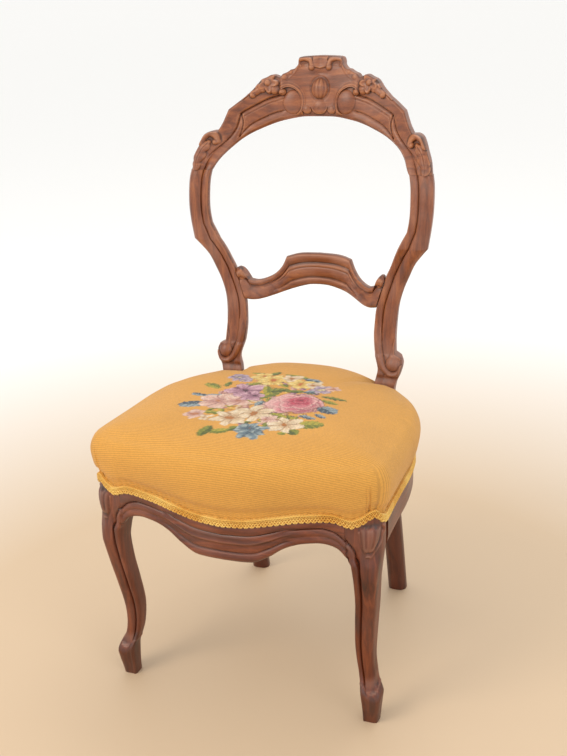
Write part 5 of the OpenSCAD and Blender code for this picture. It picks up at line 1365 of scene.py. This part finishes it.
def braid_grid(base, out, run, low, loops=9.0):
    """base and out are plan points and outward ways along the braid; run is the length so far."""
    up = np.linspace(0, 1, 15)[None]
    phase = run[:, None] * 2 * np.pi / loops
    scallop = 2.4 * np.abs(np.sin(phase / 2)) * (1 - up) ** 3 - 0.5 * np.abs(np.sin(phase)) * up ** 3
    z = low[:, None] + GIMP_W * up - scallop
    cords = sum(np.exp(-((up - level - swing) / 0.085) ** 2) for level, swing in (
        (0.27, 0.19 * np.sin(phase)), (0.27, -0.19 * np.sin(phase)),
        (0.75, 0.15 * np.sin(2 * phase + 1.5)), (0.75, -0.15 * np.sin(2 * phase + 1.5))))
    rim = np.clip(np.sin(np.pi * lerp(0.1, 0.9, up)) * 1.7, 0, 1)
    stand = SOFT_GAP + GIMP_T * (0.3 + 0.68 * np.clip(cords, 0, 1)) * rim
    face = at(base[:, None, 0] + out[:, None, 0] * stand, base[:, None, 1] + out[:, None, 1] * stand, z)
    inner = -TUCK + SOFT_GAP
    rear = [at(base[:, 0] + out[:, 0] * inner, base[:, 1] + out[:, 1] * inner, z[:, k]) for k in (-1, 0)]
    points = joined(face, *rear, face[:, :1])
    flat = np.stack([run[:, None] + 0 * points[..., 0], points[..., 2]], -1)
    return points, over_grid(points, hollows(-stand, 2)), flat


def seat_braid():
    t = np.concatenate([np.linspace(0, 0.47, 620, endpoint=False), np.linspace(0.47, 0.991, 560)])
    p, n = plan(t), plan_out(t)
    run = np.concatenate([[0], np.cumsum(np.linalg.norm(np.diff(p, axis=0), axis=1))])
    low = hem(t) + 1.5 * SOFT_GAP
    base = np.concatenate([p[:0:-1] * [-1, 1], p])
    out = np.concatenate([n[:0:-1] * [-1, 1], n])
    return braid_grid(base, out, np.concatenate([-run[:0:-1], run]), np.concatenate([low[:0:-1], low]))


def back_braid():
    x = np.linspace(-NOTCH_IN * 0.96, NOTCH_IN * 0.96, 300)
    base = np.stack([x, BACK_RAIL_Y + 0 * x], -1)
    return braid_grid(base, np.tile([0.0, 1.0], (len(x), 1)), x, HEM_Z + SOFT_GAP + 0 * x)


for name, (points, dents, flat), node in (("gimp_round_seat", seat_braid(), "gimp_braid"),
                                          ("gimp_behind", back_braid(), "back_gimp")):
    placed(grid_piece(name, points, dents, flat_uv=flat), BRAID, "braid", node)


# Floor, light and camera

FLOOR_RADIUS = 60


def pale_floor():
    """A pale painted floor: matt and warm near the chair, and as light as the wall further off."""
    bm = bmesh.new()
    bmesh.ops.create_circle(bm, cap_ends=True, segments=96, radius=FLOOR_RADIUS)
    floor = finished("floor", bm)
    material, tree, shader = new_material("pale_floor")
    place = add(tree, "TexCoord").outputs["Object"]
    far = add(tree, "VectorMath", {"operation": "LENGTH"}, _0=place).outputs["Value"]
    share = add(tree, "MapRange", Value=far, From_Min=0.6, From_Max=1.9)
    paint = add(tree, "ValToRGB", {"stops": [(0, "#d0b798"), (1, "#fdfdfc")]}, Fac=share)
    add(tree, shader, Base_Color=paint, Roughness=0.55)
    floor.data.materials.append(material)


pale_floor()


CHAIR_MIDDLE = (0, 0, 0.5)


def lamp(name, place, size, power, colour):
    """A round soft lamp that points at the middle of the chair."""
    light = bpy.data.lights.new(name, "AREA")
    light.shape, light.size, light.energy, light.color = "DISK", size, power, tone(colour)[:3]
    lamp_object = bpy.data.objects.new(name, light)
    bpy.context.scene.collection.objects.link(lamp_object)
    way = Vector(place) - Vector(CHAIR_MIDDLE)
    lamp_object.location = place
    lamp_object.rotation_euler = way.to_track_quat("Z", "Y").to_euler()


lamp("key", (-1.5, -2.2, 2.6), 1.6, 42, "#fff4e6")
lamp("fill", (2.4, -1.6, 1.9), 1.8, 15, "#f7f8ff")
lamp("top", (0.2, 1.2, 2.9), 1.6, 14, "#ffffff")
world = bpy.data.worlds.new("studio")
world.use_nodes = True
world.node_tree.nodes["Background"].inputs["Color"].default_value = tone("#f6f5f3")
world.node_tree.nodes["Background"].inputs["Strength"].default_value = 1.06
bpy.context.scene.world = world
bpy.context.scene.view_settings.view_transform = "Standard"


# The photograph's camera: its place, its yaw, pitch and roll, and its focal length and long side in pixels.
PHOTO_PLACE = (0.64827, -1.57262, 1.08466)
PHOTO_TURN = (22.2345, 20.0113, -2.4138)
PHOTO_FOCAL, PHOTO_LONG_SIDE, SENSOR = 1132.19, 756, 36


def photo_camera():
    yaw, pitch, roll = (math.radians(v) for v in PHOTO_TURN)
    ahead = np.array([-math.sin(yaw) * math.cos(pitch), math.cos(yaw) * math.cos(pitch), -math.sin(pitch)])
    right = np.array([math.cos(yaw), math.sin(yaw), 0])
    up = np.cross(right, ahead)
    across = math.cos(roll) * right + math.sin(roll) * up
    upward = -math.sin(roll) * right + math.cos(roll) * up
    turn = Matrix(np.stack([across, upward, -ahead], 1).tolist())
    data = bpy.data.cameras.new("photo_camera")
    data.sensor_width, data.lens = SENSOR, PHOTO_FOCAL / PHOTO_LONG_SIDE * SENSOR
    data.clip_start, data.clip_end = 0.05, FLOOR_RADIUS
    camera = bpy.data.objects.new("photo_camera", data)
    bpy.context.scene.collection.objects.link(camera)
    camera.matrix_world = Matrix.Translation(PHOTO_PLACE) @ turn.to_4x4()
    bpy.context.scene.camera = camera


photo_camera()
